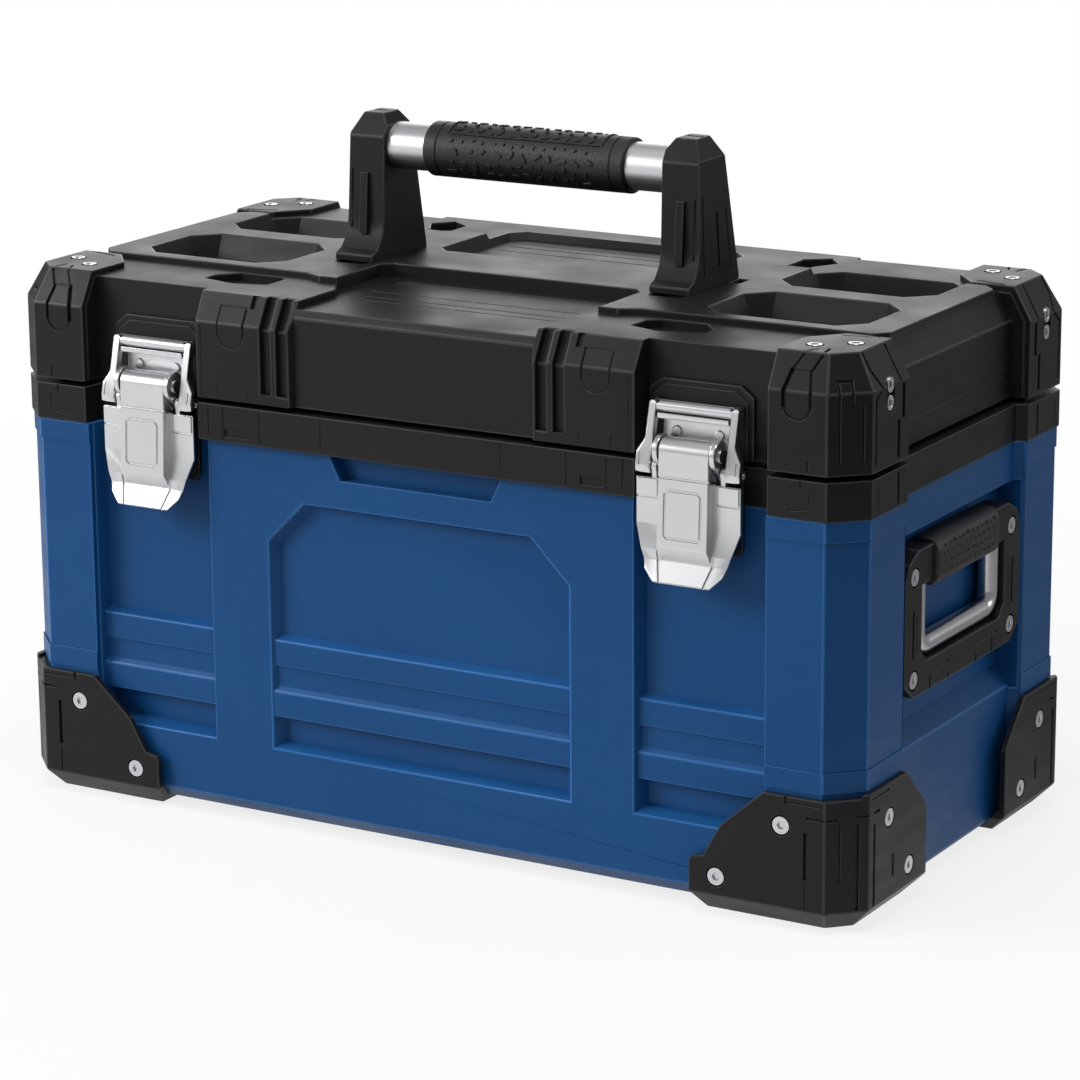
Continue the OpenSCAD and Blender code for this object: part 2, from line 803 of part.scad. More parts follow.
module lever() {
    color(STEEL) difference() {
        union() {
            difference() {
                lever_sheet();
                translate([-(hump_half - sheet_t), -far, lip_z + 21])
                    cube([2 * (hump_half - sheet_t), far, far]);
            }
            lever_hump();
            for (s = [0, 1])
                mirror([s, 0, 0]) lever_lug();
        }
        sweep_x(-far, far) translate([pivot_y, pivot_z]) circle(r = pivot_r + pin_gap);
        sweep_x(-far, far) translate([bail_y, bail_z]) circle(r = bail_pin_r + pin_gap);
    }
}
bail_pin_r = 1.6;

module bail_pins() {
    color(STEEL) for (s = [0, 1])
        mirror([s, 0, 0]) sweep_x(lug_in, latch_wide / 2 - 0.6)
            translate([bail_y, bail_z]) circle(r = bail_pin_r);
}

module bail_leg() {
    w = latch_wide / 2;
    top = bar_z + bar_r;
    intersection() {
        sweep_x(leg_in, w) {
            polygon([[bail_y - 4.4, bail_z - 3.4], [bail_y - 4.6, bail_z + 1],
                [bar_y - bar_r, top - 2], [bar_y - bar_r + 1.2, top], [bar_y + bar_r, top],
                [bar_y + bar_r, bar_z - bar_r], [bar_y, bar_z - bar_r],
                [bail_y - 0.8, bail_z + 1], [bail_y - 0.8, bail_z - 3.4]]);
            translate([bail_y, bail_z]) circle(r = 3.4);
        }
        sweep_y(-far, far) polygon([[leg_in, bail_z - 4], [w, bail_z - 3], [w, bail_z + 7.5],
            [leg_top_out, bail_z + 15.5], [leg_top_out, top - 1.5], [leg_top_out - 1.5, top + 1],
            [leg_in, top + 1]]);
    }
}

module bail() {
    color(STEEL) difference() {
        union() {
            for (s = [0, 1])
                mirror([s, 0, 0]) bail_leg();
            sweep_x(-leg_in - 1, leg_in + 1) translate([bar_y, bar_z]) circle(r = bar_r);
        }
        sweep_x(-far, far) translate([bail_y, bail_z]) circle(r = bail_pin_r + pin_gap);
    }
}

// ---------- Latch, upper half ----------

function pad_outline(w, top) = [[-w, lid_z + 0.3], [w, lid_z + 0.3], [w, top - 6],
    [w - 8, top], [-(w - 8), top], [-w, top - 6]];

module keeper_rivet_places() {
    for (x = [-1, 1])
        for (dx = [-13, 13])
            on_front(x * latch_x + dx, pad_front + sheet_t, ledge_z - 10) children();
}
keeper_rivet_long = sheet_t + mount_t + 0.5 + lid_t - 0.6;

module latch_pad() {
    w = latch_wide / 2;
    top = bar_z + 14.2;
    color(BLACK) difference() {
        union() {
            sweep_y(-(lid_bay_y + mount_t - 0.5), -lid_bay_y) polygon(pad_outline(w, top));
            sweep_y(-pad_front, -lid_bay_y) polygon(pad_outline(w - 3, top - 3));
        }
        translate([-latch_x, 0, 0]) keeper_rivet_places() screw_hole(keeper_rivet_long);
    }
}

module keeper() {
    face = pad_front + sheet_t;
    half = leg_in - 1.2;
    bead = bar_y - bar_r - 0.2;
    color(STEEL) difference() {
        sweep_x(-half, half) polygon([[-pad_front, ledge_z - 18], [-face, ledge_z - 18],
            [-face, ledge_z - 3.5], [bead - 0.5, ledge_z - 2.6], [bead - 0.9, ledge_z - 1.5],
            [bead - 0.9, ledge_z + bead_high], [bead, ledge_z + bead_high], [bead, ledge_z],
            [-pad_front, ledge_z]]);
        translate([-latch_x, 0, 0]) keeper_rivet_places() screw_hole(keeper_rivet_long);
    }
}

module keeper_rivets() {
    color(STEEL) keeper_rivet_places() {
        cylinder(r1 = 3.2, r2 = 2.4, h = 1.1);
        translate([0, 0, -keeper_rivet_long]) cylinder(r = shank_r, h = keeper_rivet_long);
    }
}

// ---------- Hinges ----------

hinge_lower_screw_z = body_top + 8;
hinge_upper_screw_z = lid_z + 14;
hinge_screw_long = 8;

module hinge_screw_places(z) {
    for (x = [-1, 1])
        for (dx = [-19, 19])
            on_rear(x * hinge_x + dx, rim_y + leaf_t, z) children();
}

module hinge_leaf(low, high, web_from, web_to, parts, screw_z) {
    third = hinge_wide / 3;
    for (x = [-1, 1])
        difference() {
            translate([x * hinge_x, 0, 0]) {
                translate([-hinge_wide / 2, rim_y, low]) cube([hinge_wide, leaf_t, high - low]);
                for (i = parts)
                    sweep_x(-hinge_wide / 2 + i * third + (i > 0 ? side_gap / 2 : 0),
                            -hinge_wide / 2 + (i + 1) * third - (i < 2 ? side_gap / 2 : 0)) {
                        translate([hinge_y, hinge_z]) circle(r = knuckle_r);
                        polygon([[rim_y + 0.4, web_from], [rim_y + leaf_t, web_from],
                            [hinge_y + 1.5, web_to], [rim_y + 0.8, hinge_z]]);
                    }
            }
            sweep_x(-far, far) translate([hinge_y, hinge_z])
                circle(r = hinge_pin_r + pin_gap);
            hinge_screw_places(screw_z) screw_hole(hinge_screw_long);
        }
}

module hinge_lower() {
    color(STEEL) hinge_leaf(body_top + 1.5, hinge_z - knuckle_r - side_gap,
        hinge_z - knuckle_r - 4, hinge_z - knuckle_r + 0.6, [0, 2], hinge_lower_screw_z);
}

module hinge_upper() {
    color(STEEL) hinge_leaf(hinge_z + knuckle_r + side_gap, lid_z + 22,
        hinge_z + knuckle_r + 4, hinge_z + knuckle_r - 0.6, [1], hinge_upper_screw_z);
}

module hinge_pins() {
    color(STEEL) for (x = [-1, 1])
        translate([x * hinge_x, 0, 0]) sweep_x(-hinge_wide / 2, hinge_wide / 2)
            translate([hinge_y, hinge_z]) circle(r = hinge_pin_r);
}

module hinge_lower_screws() {
    color(STEEL) hinge_screw_places(hinge_lower_screw_z) screw(hinge_screw_long, 3.2, 1.6);
}

module hinge_upper_screws() {
    color(STEEL) hinge_screw_places(hinge_upper_screw_z) screw(hinge_screw_long, 3.2, 1.6);
}

// ---------- Lid ----------

seat_x = rim_x - cap_t;
seat_y = rim_y - cap_t;
seat_top = border_z - 0.5;

// Plan of a corner cap, for the front right corner
module cap_plan(in = 0) {
    polygon([[bay_outer + 1 + in, -far], [bay_outer + 1 + in, -100],
        [bay_outer + 17, -(side_pod + in)], [far, -(side_pod + in)], [far, -far]]);
}

module lid_plan() {
    polygon(ring([[slab_half, -(rim_y - slab_set)], [slab_half + 2, -rim_y],
        [bay_inner, -rim_y], [bay_inner + 1, -lid_bay_y], [bay_outer + 1, -lid_bay_y],
        [bay_outer + 1, -100], [bay_outer + 17, -side_pod], [rim_x - lid_side_set, -side_pod]]));
}

module plateau_plan() {
    polygon(ring([[100, -(rim_y - 62)], [112, -(rim_y - 68)], [254, -(rim_y - 68)],
        [262, -(rim_y - 76)]]));
}

// Outline of one compartment, drawn in by a margin on every side
module tub_plan(front, back, in, cut) {
    polygon([[tub_inner + in + cut, front + in], [tub_outer - in - cut, front + in],
        [tub_outer - in, front + in + cut], [tub_outer - in, back - in - cut],
        [tub_outer - in - cut, back - in], [tub_inner + in + cut, back - in],
        [tub_inner + in, back - in - cut], [tub_inner + in, front + in + cut]]);
}
TUBS = [[-66, 3], [23, 92]];
tub_floor = lid_top - tub_deep;

module tub_hollow(y) {
    hull() {
        slab(tub_floor, tub_floor + 0.01) tub_plan(y[0], y[1], 7, 8);
        slab(lid_top, lid_top + 0.1) tub_plan(y[0], y[1], 0, 14);
    }
}

tray_floor = lid_top - tray_deep;

module front_tray() {
    slab(tray_floor, far) polygon([[-slab_half, -far], [slab_half, -far], [slab_half, -95],
        [slab_half + 9, -80], [slab_half + 9, -34], [slab_half + 3, -28],
        [-(slab_half + 3), -28], [-(slab_half + 9), -34], [-(slab_half + 9), -80],
        [-slab_half, -95]]);
}

module rear_tray() {
    hull() {
        slab(tray_floor, tray_floor + 0.01) translate([0, 68])
            octagon(tray_half - 5, 42, 8);
        slab(lid_top, lid_top + 0.1) translate([0, 68]) octagon(tray_half, 47, 8);
    }
}

// Plans of the scoops in front of the compartments and behind them
module front_scoop() {
    polygon([[121, -86], [127, -80], [156, -80], [166, -92], [166, -104], [140, -110],
        [121, -104]]);
}

module rear_scoop() {
    polygon([[118, 76], [133, 76], [133, 95], [142, 111], [132, 123], [118, 113]]);
}

module scoops() {
    for (s = [0, 1])
        mirror([s, 0, 0])
            slab(border_z - 5, far) {
                front_scoop();
                rear_scoop();
            }
}

// Grooves in the front pods beside the middle slab
module flutes() {
    for (s = [0, 1])
        mirror([s, 0, 0])
            for (x = [slab_half + 3.5, slab_half + 14.5])
                sweep_x(x, x + 7) polygon([[-far, lid_z + 6], [-(rim_y - 3.5), lid_z + 6],
                    [-(rim_y - 3.5), lid_z + lid_upright - 2],
                    [-(rim_y - 13), border_z - 2], [-(rim_y - 13), far], [-far, far]]);
}

// Slots in front of the towers and notches behind them
module tower_slots() {
    for (s = [0, 1])
        mirror([s, 0, 0]) slab(lid_top - 6, far) {
            translate([tower_in + 3, -40]) square([tower_wide - 6, 12]);
            translate([tower_out + 1, 14]) square([6, 12]);
        }
}

module lid_cavity() {
    difference() {
        slab(lid_z - 1, border_z - lid_t) square([2 * cavity_x, 2 * rim_in_y], center = true);
        for (s = [0, 1])
            mirror([s, 0, 0])
                for (y = TUBS)
                    slab(tub_floor - lid_t, far) tub_plan(y[0], y[1], -lid_t, 8);
        slab(tray_floor - lid_t, far) {
            translate([-(slab_half + 9 + lid_t), -far])
                square([2 * (slab_half + 9 + lid_t), far - 28 + lid_t]);
            translate([-(tray_half + lid_t), 68 - 47 - lid_t])
                square([2 * (tray_half + lid_t), 94 + 2 * lid_t]);
        }
        for (s = [0, 1])
            mirror([s, 0, 0])
                slab(border_z - 5 - lid_t, far) {
                    translate([121 - lid_t, -110 - lid_t])
                        square([45 + 2 * lid_t, 30 + 2 * lid_t]);
                    translate([118 - lid_t, 76 - lid_t])
                        square([24 + 2 * lid_t, 47 + 2 * lid_t]);
                }
        slab(tower_boss_z, far) each_end()
            translate([tower_in - 4, -44]) square([tower_wide + 16, 76]);
    }
}
tower_boss_z = lid_top - 14;
tower_screw_long = 24;
tower_shank_r = shank_r - 0.35;

// Screws that hold a tower, driven from inside the lid
module tower_screw_places() {
    for (s = [-1, 1])
        for (y = [-12, 12])
            translate([s * (tower_in + tower_wide / 2), y, tower_boss_z])
                rotate([180, 0, 0]) children();
}

cap_sink = 1.8;
cap_sink_r = sink_r - 1;
cap_screw_long = 6;
cap_pitch = 10;

// Stands children at the middle of the two screws on a cap's side face
module cap_side() {
    on_end(rim_x - sink_deep, -(side_pod + 23.4), lid_z + 40) children();
}

module cap_top_screw_places() {
    translate([rim_x - 40, -(side_pod + 35), lid_top - cap_sink]) children();
    translate([rim_x - 22, -(side_pod + 22), lid_top - cap_sink]) children();
}

module cap_screw_places() {
    for (x = [-cap_pitch / 2, cap_pitch / 2])
        cap_side() translate([x, 0, 0]) children();
    cap_top_screw_places() children();
}

// The oval pocket of the two screws on the side face
module cap_pocket() {
    cap_side() linear_extrude(10) {
        for (x = [-cap_pitch / 2, cap_pitch / 2])
            translate([x, 0]) circle(r = cap_sink_r);
        square([cap_pitch, 2 * cap_sink_r], center = true);
    }
}

module lid_shell() {
    color(BLACK) difference() {
        union() {
            intersection() {
                bevelled_block(rim_x, rim_y, lid_z, lid_z + lid_upright, border_z,
                    border_bevel, corner_cut);
                slab(lid_z, lid_top) lid_plan();
                bevelled_block(rim_x - lid_side_set, far, lid_z, lid_z + lid_upright,
                    border_z, border_bevel, 1);
            }
            intersection() {
                bevelled_block(seat_x, seat_y, lid_z, lid_z + lid_upright, seat_top,
                    border_bevel, corner_cut);
                each_corner() slab(lid_z, lid_top) cap_plan();
            }
            slab(border_z - 0.01, lid_top) plateau_plan();
        }
        lid_cavity();
        for (s = [0, 1])
            mirror([s, 0, 0])
                for (y = TUBS)
                    tub_hollow(y);
        front_tray();
        rear_tray();
        scoops();
        flutes();
        tower_slots();
        tower_screw_places() screw_hole(tower_screw_long, tower_shank_r);
        keeper_rivet_places() screw_hole(keeper_rivet_long);
        hinge_screw_places(hinge_upper_screw_z) screw_hole(hinge_screw_long);
        each_corner() cap_screw_places() screw_hole(cap_screw_long);
    }
}

// The cap of the front right corner
module cap() {
    color(BLACK) difference() {
        intersection() {
            bevelled_block(rim_x, rim_y, lid_z, lid_z + lid_upright, lid_top, lid_bevel,
                corner_cut);
            slab(lid_z, lid_top) cap_plan();
        }
        bevelled_block(seat_x, seat_y, lid_z - 1, lid_z + lid_upright, seat_top,
            border_bevel, corner_cut);
        cap_screw_places() screw_hole(cap_screw_long);
        cap_top_screw_places() cylinder(r = cap_sink_r, h = 10);
        cap_pocket();
    }
}

module cap_screws() {
    color(STEEL) each_corner() cap_screw_places() screw(cap_screw_long, head_r - 0.5, 1.6);
}

// ---------- Top handle ----------

module tower_side() {
    z = lid_top;
    top = lid_top + tower_high;
    polygon([[-34, z], [-34, z + 4], [-28, z + 6.5], [-22, z + 14], [-20, z + 24],
        [tube_y - tube_r - 2.5, top - 13], [tube_y - 9, top], [tube_y + 8, top],
        [tube_y + tube_r + 1.5, top - 12], [28, z]]);
}

// The tower on the right, with the plug that the tube sits on
module tower() {
    top = lid_top + tower_high;
    color(BLACK) difference() {
        union() {
            intersection() {
                sweep_x(tower_in, tower_out) tower_side();
                sweep_y(-far, far) polygon([[tower_in, lid_top], [tower_out, lid_top],
                    [tower_out - 2, top - 12], [tower_out - 8, top], [tower_in + 5, top],
                    [tower_in, top - 7]]);
            }
            sweep_x(tower_in - 8, tower_in + 0.01) translate([tube_y, tube_up])
                circle(r = tube_r - tube_t - pin_gap);
        }
        translate([tower_in + 11, -34 + 8, lid_top + 16]) cube([3, 10, 34]);
        tower_screw_places() screw_hole(tower_screw_long, tower_shank_r);
    }
}

module tower_screws() {
    color(STEEL) tower_screw_places() screw(tower_screw_long, shank = tower_shank_r);
}

module handle_tube() {
    color(STEEL) sweep_x(-tower_in, tower_in) translate([tube_y, tube_up])
        difference() {
            circle(r = tube_r);
            circle(r = tube_r - tube_t);
        }
}

module handle_grip() {
    half = grip_long / 2;
    out = tube_r + grip_t;
    color("#151516") translate([0, tube_y, tube_up]) rotate([0, 90, 0])
        rotate_extrude() polygon([[tube_r + pin_gap, -half], [out - 0.8, -half],
            [out, -half + 1], [out, half - 1], [out - 0.8, half], [tube_r + pin_gap, half]]);
}

// ---------- Assembly ----------

case_shell();
rim_band();
lid_seal();
corner(-1, -1) guard();  // protector_front_left
corner(1, -1) guard();  // protector_front_right
corner(-1, 1) guard();  // protector_rear_left
corner(1, 1) guard();  // protector_rear_right
protector_screws();
corner(-1, -1) end_frame();  // end_frame_left
end_frame();  // end_frame_right
corner(-1, -1) end_loop();  // end_loop_left
end_loop();  // end_loop_right
corner(-1, -1) end_grip();  // end_grip_left
end_grip();  // end_grip_right
end_screws();
translate([-latch_x, 0, 0]) mirror([1, 0, 0]) latch_mount();  // latch_mount_left
translate([latch_x, 0, 0]) latch_mount();  // latch_mount_right
translate([-latch_x, 0, 0]) mirror([1, 0, 0]) latch_base();  // latch_base_left
translate([latch_x, 0, 0]) latch_base();  // latch_base_right
latch_base_screws();
lever_pins();
hinge_lower();
hinge_pins();
hinge_lower_screws();
lid_shell();
corner(-1, -1) cap();  // cap_front_left
corner(1, -1) cap();  // cap_front_right
corner(-1, 1) cap();  // cap_rear_left
corner(1, 1) cap();  // cap_rear_right
cap_screws();
translate([-latch_x, 0, 0]) mirror([1, 0, 0]) latch_pad();  // latch_pad_left
translate([latch_x, 0, 0]) latch_pad();  // latch_pad_right
translate([-latch_x, 0, 0]) mirror([1, 0, 0]) keeper();  // keeper_left
translate([latch_x, 0, 0]) keeper();  // keeper_right
keeper_rivets();
hinge_upper();
hinge_upper_screws();
corner(-1, -1) tower();  // tower_left
tower();  // tower_right
tower_screws();
handle_tube();
handle_grip();
translate([-latch_x, 0, 0]) lever();  // lever_left
translate([latch_x, 0, 0]) lever();  // lever_right
translate([-latch_x, 0, 0]) bail_pins();  // bail_pins_left
translate([latch_x, 0, 0]) bail_pins();  // bail_pins_right
translate([-latch_x, 0, 0]) bail();  // bail_left
translate([latch_x, 0, 0]) bail();  // bail_right
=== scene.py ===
"""Looks of a hard tool case: moulded body and lid, corner guards, draw latches and handles.

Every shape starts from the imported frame. A moulding is a copy of its CAD node with its
edges rounded, cut and built up with the small forms of the real case, and given its finish.
The frame is in metres: +Z up, +X along the case, the latches on -Y. Sizes held by the
classes are millimetres. Among them, edge is the rounding of a piece's edges, bold is how
much wider and deeper than drawn its grooves are cut, and head_share is the radius of its
screws' heads over that of the CAD.
"""
import logging
import math
import random
from dataclasses import dataclass
from enum import Enum
from functools import partial
from typing import Callable, ClassVar, Sequence

import bmesh
import bpy
from mathutils import Matrix, Vector
from mathutils.bvhtree import BVHTree


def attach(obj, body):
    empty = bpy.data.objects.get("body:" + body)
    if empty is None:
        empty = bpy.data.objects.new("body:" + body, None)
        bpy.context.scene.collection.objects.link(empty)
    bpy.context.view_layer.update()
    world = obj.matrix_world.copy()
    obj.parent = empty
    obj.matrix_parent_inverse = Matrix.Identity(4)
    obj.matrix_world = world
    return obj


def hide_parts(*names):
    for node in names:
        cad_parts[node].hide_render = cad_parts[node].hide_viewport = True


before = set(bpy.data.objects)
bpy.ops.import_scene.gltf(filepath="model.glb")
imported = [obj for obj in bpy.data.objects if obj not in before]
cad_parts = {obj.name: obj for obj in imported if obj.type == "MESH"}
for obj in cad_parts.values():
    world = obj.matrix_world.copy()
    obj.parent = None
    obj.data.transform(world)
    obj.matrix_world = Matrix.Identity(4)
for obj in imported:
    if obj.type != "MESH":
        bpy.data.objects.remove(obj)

LOG = logging.getLogger("tool_case")
MM = 0.001
# Metres within which points are one, after a cast and after a cut, and a sliver's width.
WELD, CUT_WELD, SLIVER = 3e-6, 2e-6, 1.5e-5
# Folds up to which faces are one flat face, and up to which they are shaded as one.
FLAT, CREASE = math.radians(0.4), math.radians(28)
CORNERS = ("front_left", "front_right", "rear_left", "rear_right")
SIDES = ("left", "right")

Form = bmesh.types.BMesh
Socket = bpy.types.NodeSocket
Material = bpy.types.Material
Place = Sequence[float]
Colour = tuple[float, float, float, float]


class Slot(Enum):
    """Material slots of the record."""

    BODY = "body_plastic"
    BLACK = "black_plastic"
    SEAL = "seal_rubber"
    GRIP = "grip_rubber"
    TUBE = "tube_aluminium"
    LOOP = "loop_steel"
    FASTENER = "fastener_steel"
    LATCH = "latch_steel"
    HINGE = "hinge_steel"


def linear(red: int, green: int, blue: int) -> Colour:
    """A screen colour, 0 to 255, as linear light."""
    def one(value: int) -> float:
        part = value / 255
        return part / 12.92 if part <= 0.04045 else ((part + 0.055) / 1.055) ** 2.4
    return one(red), one(green), one(blue), 1.0


class Tree:
    """A material's node tree, with short calls for nodes and links."""

    def __init__(self, name: str) -> None:
        self.material = bpy.data.materials.new(name)
        self.material.use_nodes = True
        self.nodes = self.material.node_tree.nodes
        self.nodes.clear()
        self.output = self.nodes.new("ShaderNodeOutputMaterial")
        self.place = self.nodes.new("ShaderNodeTexCoord").outputs["Object"]

    def add(self, kind: str, settings: dict | None = None, **inputs: object) -> bpy.types.Node:
        """Adds a node.

        Args:
            kind: the node's type, without its ShaderNode prefix.
            settings: properties of the node itself.
            inputs: sockets by name, with underscores for spaces, or by number, after an
                underscore; each gets a value, or a socket to link.

        Returns:
            The new node.
        """
        node = self.nodes.new("ShaderNode" + kind)
        for key, value in (settings or {}).items():
            setattr(node, key, value)
        for key, value in inputs.items():
            socket = node.inputs[int(key[1:]) if key[1:].isdigit() else key.replace("_", " ")]
            if isinstance(value, Socket):
                self.material.node_tree.links.new(value, socket)
            else:
                socket.default_value = value
        return node

    def stretched(self, scale: Place) -> Socket:
        """Object coordinates, multiplied along each axis."""
        return self.add("Mapping", Vector=self.place, Scale=tuple(scale)).outputs["Vector"]

    def noise(self, scale: float, detail: float = 2.0,
              place: Socket | None = None) -> Socket:
        """Noise from 0 to 1."""
        node = self.add("TexNoise", Vector=place or self.place, Scale=scale, Detail=detail)
        return node.outputs["Fac"]

    def ramp(self, value: Socket, low: float, high: float,
             to_low: float, to_high: float) -> Socket:
        """A value carried from one range to another and held inside it."""
        node = self.add("MapRange", Value=value, From_Min=low, From_Max=high,
                        To_Min=to_low, To_Max=to_high)
        return node.outputs["Result"]

    def blend(self, share: object, first: object, second: object,
              how: str = "MIX") -> Socket:
        """Two colours mixed by a share."""
        node = self.add("Mix", {"data_type": "RGBA", "blend_type": how},
                        _0=share, _6=first, _7=second)
        return node.outputs[2]

    def bump(self, height: Socket, strength: float, distance: float,
             below: Socket | None = None) -> Socket:
        """A bump over an earlier one."""
        inputs = {"Height": height, "Strength": strength, "Distance": distance}
        if below is not None:
            inputs["Normal"] = below
        return self.add("Bump", **inputs).outputs["Normal"]

    def finish(self, shader: bpy.types.Node) -> Material:
        """Ends the tree at a shader and returns the material."""
        self.material.node_tree.links.new(shader.outputs[0], self.output.inputs["Surface"])
        return self.material


@dataclass(frozen=True)
class Moulded:
    """Satin injection-moulded plastic, with slow patches, flow streaks and fine grain; its edge
    variant carries a painted highlight.
    """

    name: str
    colour: Colour
    light: Colour
    # Lighter colour painted on the rounded edges as a highlight.
    edge_highlight: Colour
    rough: float = 0.42
    grain: float = 0.10

    def build(self, edge: bool = False) -> Material:
        """Makes the plastic, or the one on its edges: glossier, and painted lighter as a highlight.
        """
        tree = Tree(self.name + ("_edge" if edge else ""))
        patches = tree.noise(9, 3)
        flow = tree.noise(26, 4, tree.stretched((1, 1, 4)))
        speck = tree.noise(1400, 2)
        share = tree.ramp(patches, 0.3, 0.75, 0.0, 0.75)
        base = tree.blend(share, self.colour, self.light)
        if edge:
            # Paints the highlight onto the roundings.
            base = tree.blend(0.8, base, self.edge_highlight)
        grey = tree.ramp(speck, 0.3, 0.7, 0.88, 1.12)
        base = tree.blend(0.6, base, tree.add("CombineColor", Red=grey, Green=grey,
                                              Blue=grey).outputs["Color"], "MULTIPLY")
        low = self.rough - (0.1 if edge else 0.0)
        rough = tree.ramp(flow, 0.3, 0.7, low - 0.05, low + 0.07)
        fine = tree.bump(speck, self.grain, 0.0004)
        broad = tree.bump(tree.noise(14, 2), 0.12, 0.002, fine)
        shader = tree.add("BsdfPrincipled", Base_Color=base, Roughness=rough, IOR=1.5,
                          Normal=broad, Specular_IOR_Level=0.22)
        return tree.finish(shader)


@dataclass(frozen=True)
class Metal:
    """Bright or satin metal, with a brushed grain along one axis."""

    name: str
    colour: Colour
    rough: float
    brush: tuple[float, float, float]
    depth: float = 0.02

    def build(self, edge: bool = False) -> Material:
        """Makes the metal; an edge, polished by use, is a little brighter and smoother."""
        tree = Tree(self.name + ("_edge" if edge else ""))
        lines = tree.noise(1.0, 3, tree.stretched(self.brush))
        cloud = tree.noise(30, 3)
        dark = tuple(0.72 * c for c in self.colour[:3]) + (1,)
        base = tree.blend(tree.ramp(cloud, 0.3, 0.7, 0.0, 0.08), self.colour, dark)
        base = tree.blend(tree.ramp(lines, 0.35, 0.7, 0.0, 0.05), base, dark)
        low = self.rough * (0.7 if edge else 1.0)
        rough = tree.ramp(lines, 0.3, 0.7, low * 0.98, low * 1.03)
        normal = tree.bump(lines, self.depth, 0.0001)
        shader = tree.add("BsdfPrincipled", Base_Color=base, Metallic=1.0, Roughness=rough,
                          Normal=normal)
        return tree.finish(shader)


@dataclass(frozen=True)
class Rubber:
    """Soft black rubber with a leathery cell grain."""

    name: str
    colour: Colour
    rough: float = 0.55

    def build(self, edge: bool = False) -> Material:
        """Makes the rubber; an edge is a little lighter."""
        tree = Tree(self.name + ("_edge" if edge else ""))
        cells = tree.add("TexVoronoi", Vector=tree.place, Scale=620.0)
        patches = tree.noise(25, 3)
        light = tuple(min(1.0, (2.2 if edge else 1.6) * c) for c in self.colour[:3]) + (1,)
        base = tree.blend(tree.ramp(patches, 0.35, 0.7, 0.0, 0.8), self.colour, light)
        rough = tree.ramp(patches, 0.3, 0.7, self.rough - 0.08, self.rough + 0.08)
        grain = tree.bump(cells.outputs["Distance"], 0.25, 0.0004)
        normal = tree.bump(tree.noise(1500, 2), 0.1, 0.0003, grain)
        shader = tree.add("BsdfPrincipled", Base_Color=base, Roughness=rough, Normal=normal)
        return tree.finish(shader)


Finish = Moulded | Metal | Rubber

# The third colour of each plastic is the highlight painted on its rounded edges.
BLUE = Moulded("blue_plastic", linear(24, 82, 140), linear(29, 91, 152), linear(58, 120, 188), 0.40)
BLACK = Moulded("black_plastic", linear(25, 25, 27), linear(33, 33, 35), linear(70, 70, 72), 0.42)
SEAL = Rubber("seal_rubber", linear(22, 22, 23), 0.6)
GRIP = Rubber("grip_rubber", linear(23, 23, 24), 0.5)
TUBE = Metal("brushed_aluminium", linear(214, 215, 217), 0.38, (30, 900, 900), 0.01)
LOOP = Metal("satin_steel", linear(205, 205, 208), 0.28, (300, 300, 60), 0.01)
LATCH = Metal("pressed_steel", linear(214, 215, 217), 0.31, (90, 900, 500), 0.005)
HINGE = Metal("hinge_steel", linear(165, 166, 170), 0.34, (60, 500, 500), 0.02)
SCREW = Metal("screw_steel", linear(205, 206, 208), 0.3, (400, 400, 400), 0.01)


def meshed(name: str, form: Form) -> bpy.types.Mesh:
    """A form as a mesh; the form is freed."""
    mesh = bpy.data.meshes.new(name)
    form.to_mesh(mesh)
    form.free()
    return mesh


def stood(name: str, data: bpy.types.ID) -> bpy.types.Object:
    """A new object in the scene for some data."""
    thing = bpy.data.objects.new(name, data)
    bpy.context.scene.collection.objects.link(thing)
    return thing


class Solids:
    """Closed forms in millimetres, for the front right, which may be mirrored."""

    over: ClassVar[float] = 0.8
    run_on: ClassVar[float] = 0.3

    def __init__(self) -> None:
        self.form = bmesh.new()

    def prism(self, outline: Sequence[Place], normal: Vector, up: float,
              down: float) -> None:
        """Adds a prism that stands on a flat outline.

        Args:
            outline: corners on the surface, in order.
            normal: the surface's outward direction.
            up: height above the surface.
            down: depth below it.
        """
        out = Vector(normal).normalized()
        base = [self.form.verts.new(Vector(p) - out * down) for p in outline]
        face = self.form.faces.new(base)
        grown = bmesh.ops.extrude_face_region(self.form, geom=[face])
        moved = [v for v in grown["geom"] if isinstance(v, bmesh.types.BMVert)]
        bmesh.ops.translate(self.form, verts=moved, vec=out * (up + down))

    def channel(self, start: Place, end: Place, normal: Vector,
                wide: float, deep: float, lip: float = 0.0) -> None:
        """Adds a straight groove's cutter.

        Args:
            start: where the groove starts on the surface.
            end: where it ends.
            normal: the surface's outward direction.
            wide: width at the bottom.
            deep: depth.
            lip: width of the chamfer along both rims, which takes the edge finish and so, on
                plastic, its painted highlight.
        """
        out = Vector(normal).normalized()
        a, b = Vector(start), Vector(end)
        along = (b - a).normalized()
        side = out.cross(along).normalized()
        a, b = a - along * wide * self.run_on, b + along * wide * self.run_on
        half, rim, top = wide / 2, wide / 2 + lip + self.over, self.over
        outline = [(-half, -deep), (half, -deep)]
        if lip:
            outline += [(half, -lip), (rim, top), (-rim, top), (-half, -lip)]
        else:
            outline += [(half, top), (-half, top)]
        rings = [[self.form.verts.new(q + side * across + out * up) for across, up in outline]
                 for q in (a, b)]
        self.form.faces.new(rings[0])
        self.form.faces.new(rings[1][::-1])
        count = len(outline)
        for i in range(count):
            j = (i + 1) % count
            wall = self.form.faces.new((rings[0][i], rings[1][i], rings[1][j], rings[0][j]))
            # The rims' chamfers take the edge finish, which on plastic is a painted highlight.
            wall.material_index = int(bool(lip) and i in (2, 4))

    def placed(self, flip_x: bool = False, flip_y: bool = False) -> Form:
        """A copy in metres, mirrored across the middle where asked, facing outwards."""
        copy = self.form.copy()
        scale = (-MM if flip_x else MM, -MM if flip_y else MM, MM)
        bmesh.ops.scale(copy, vec=scale, verts=copy.verts)
        bmesh.ops.recalc_face_normals(copy, faces=copy.faces)
        return copy


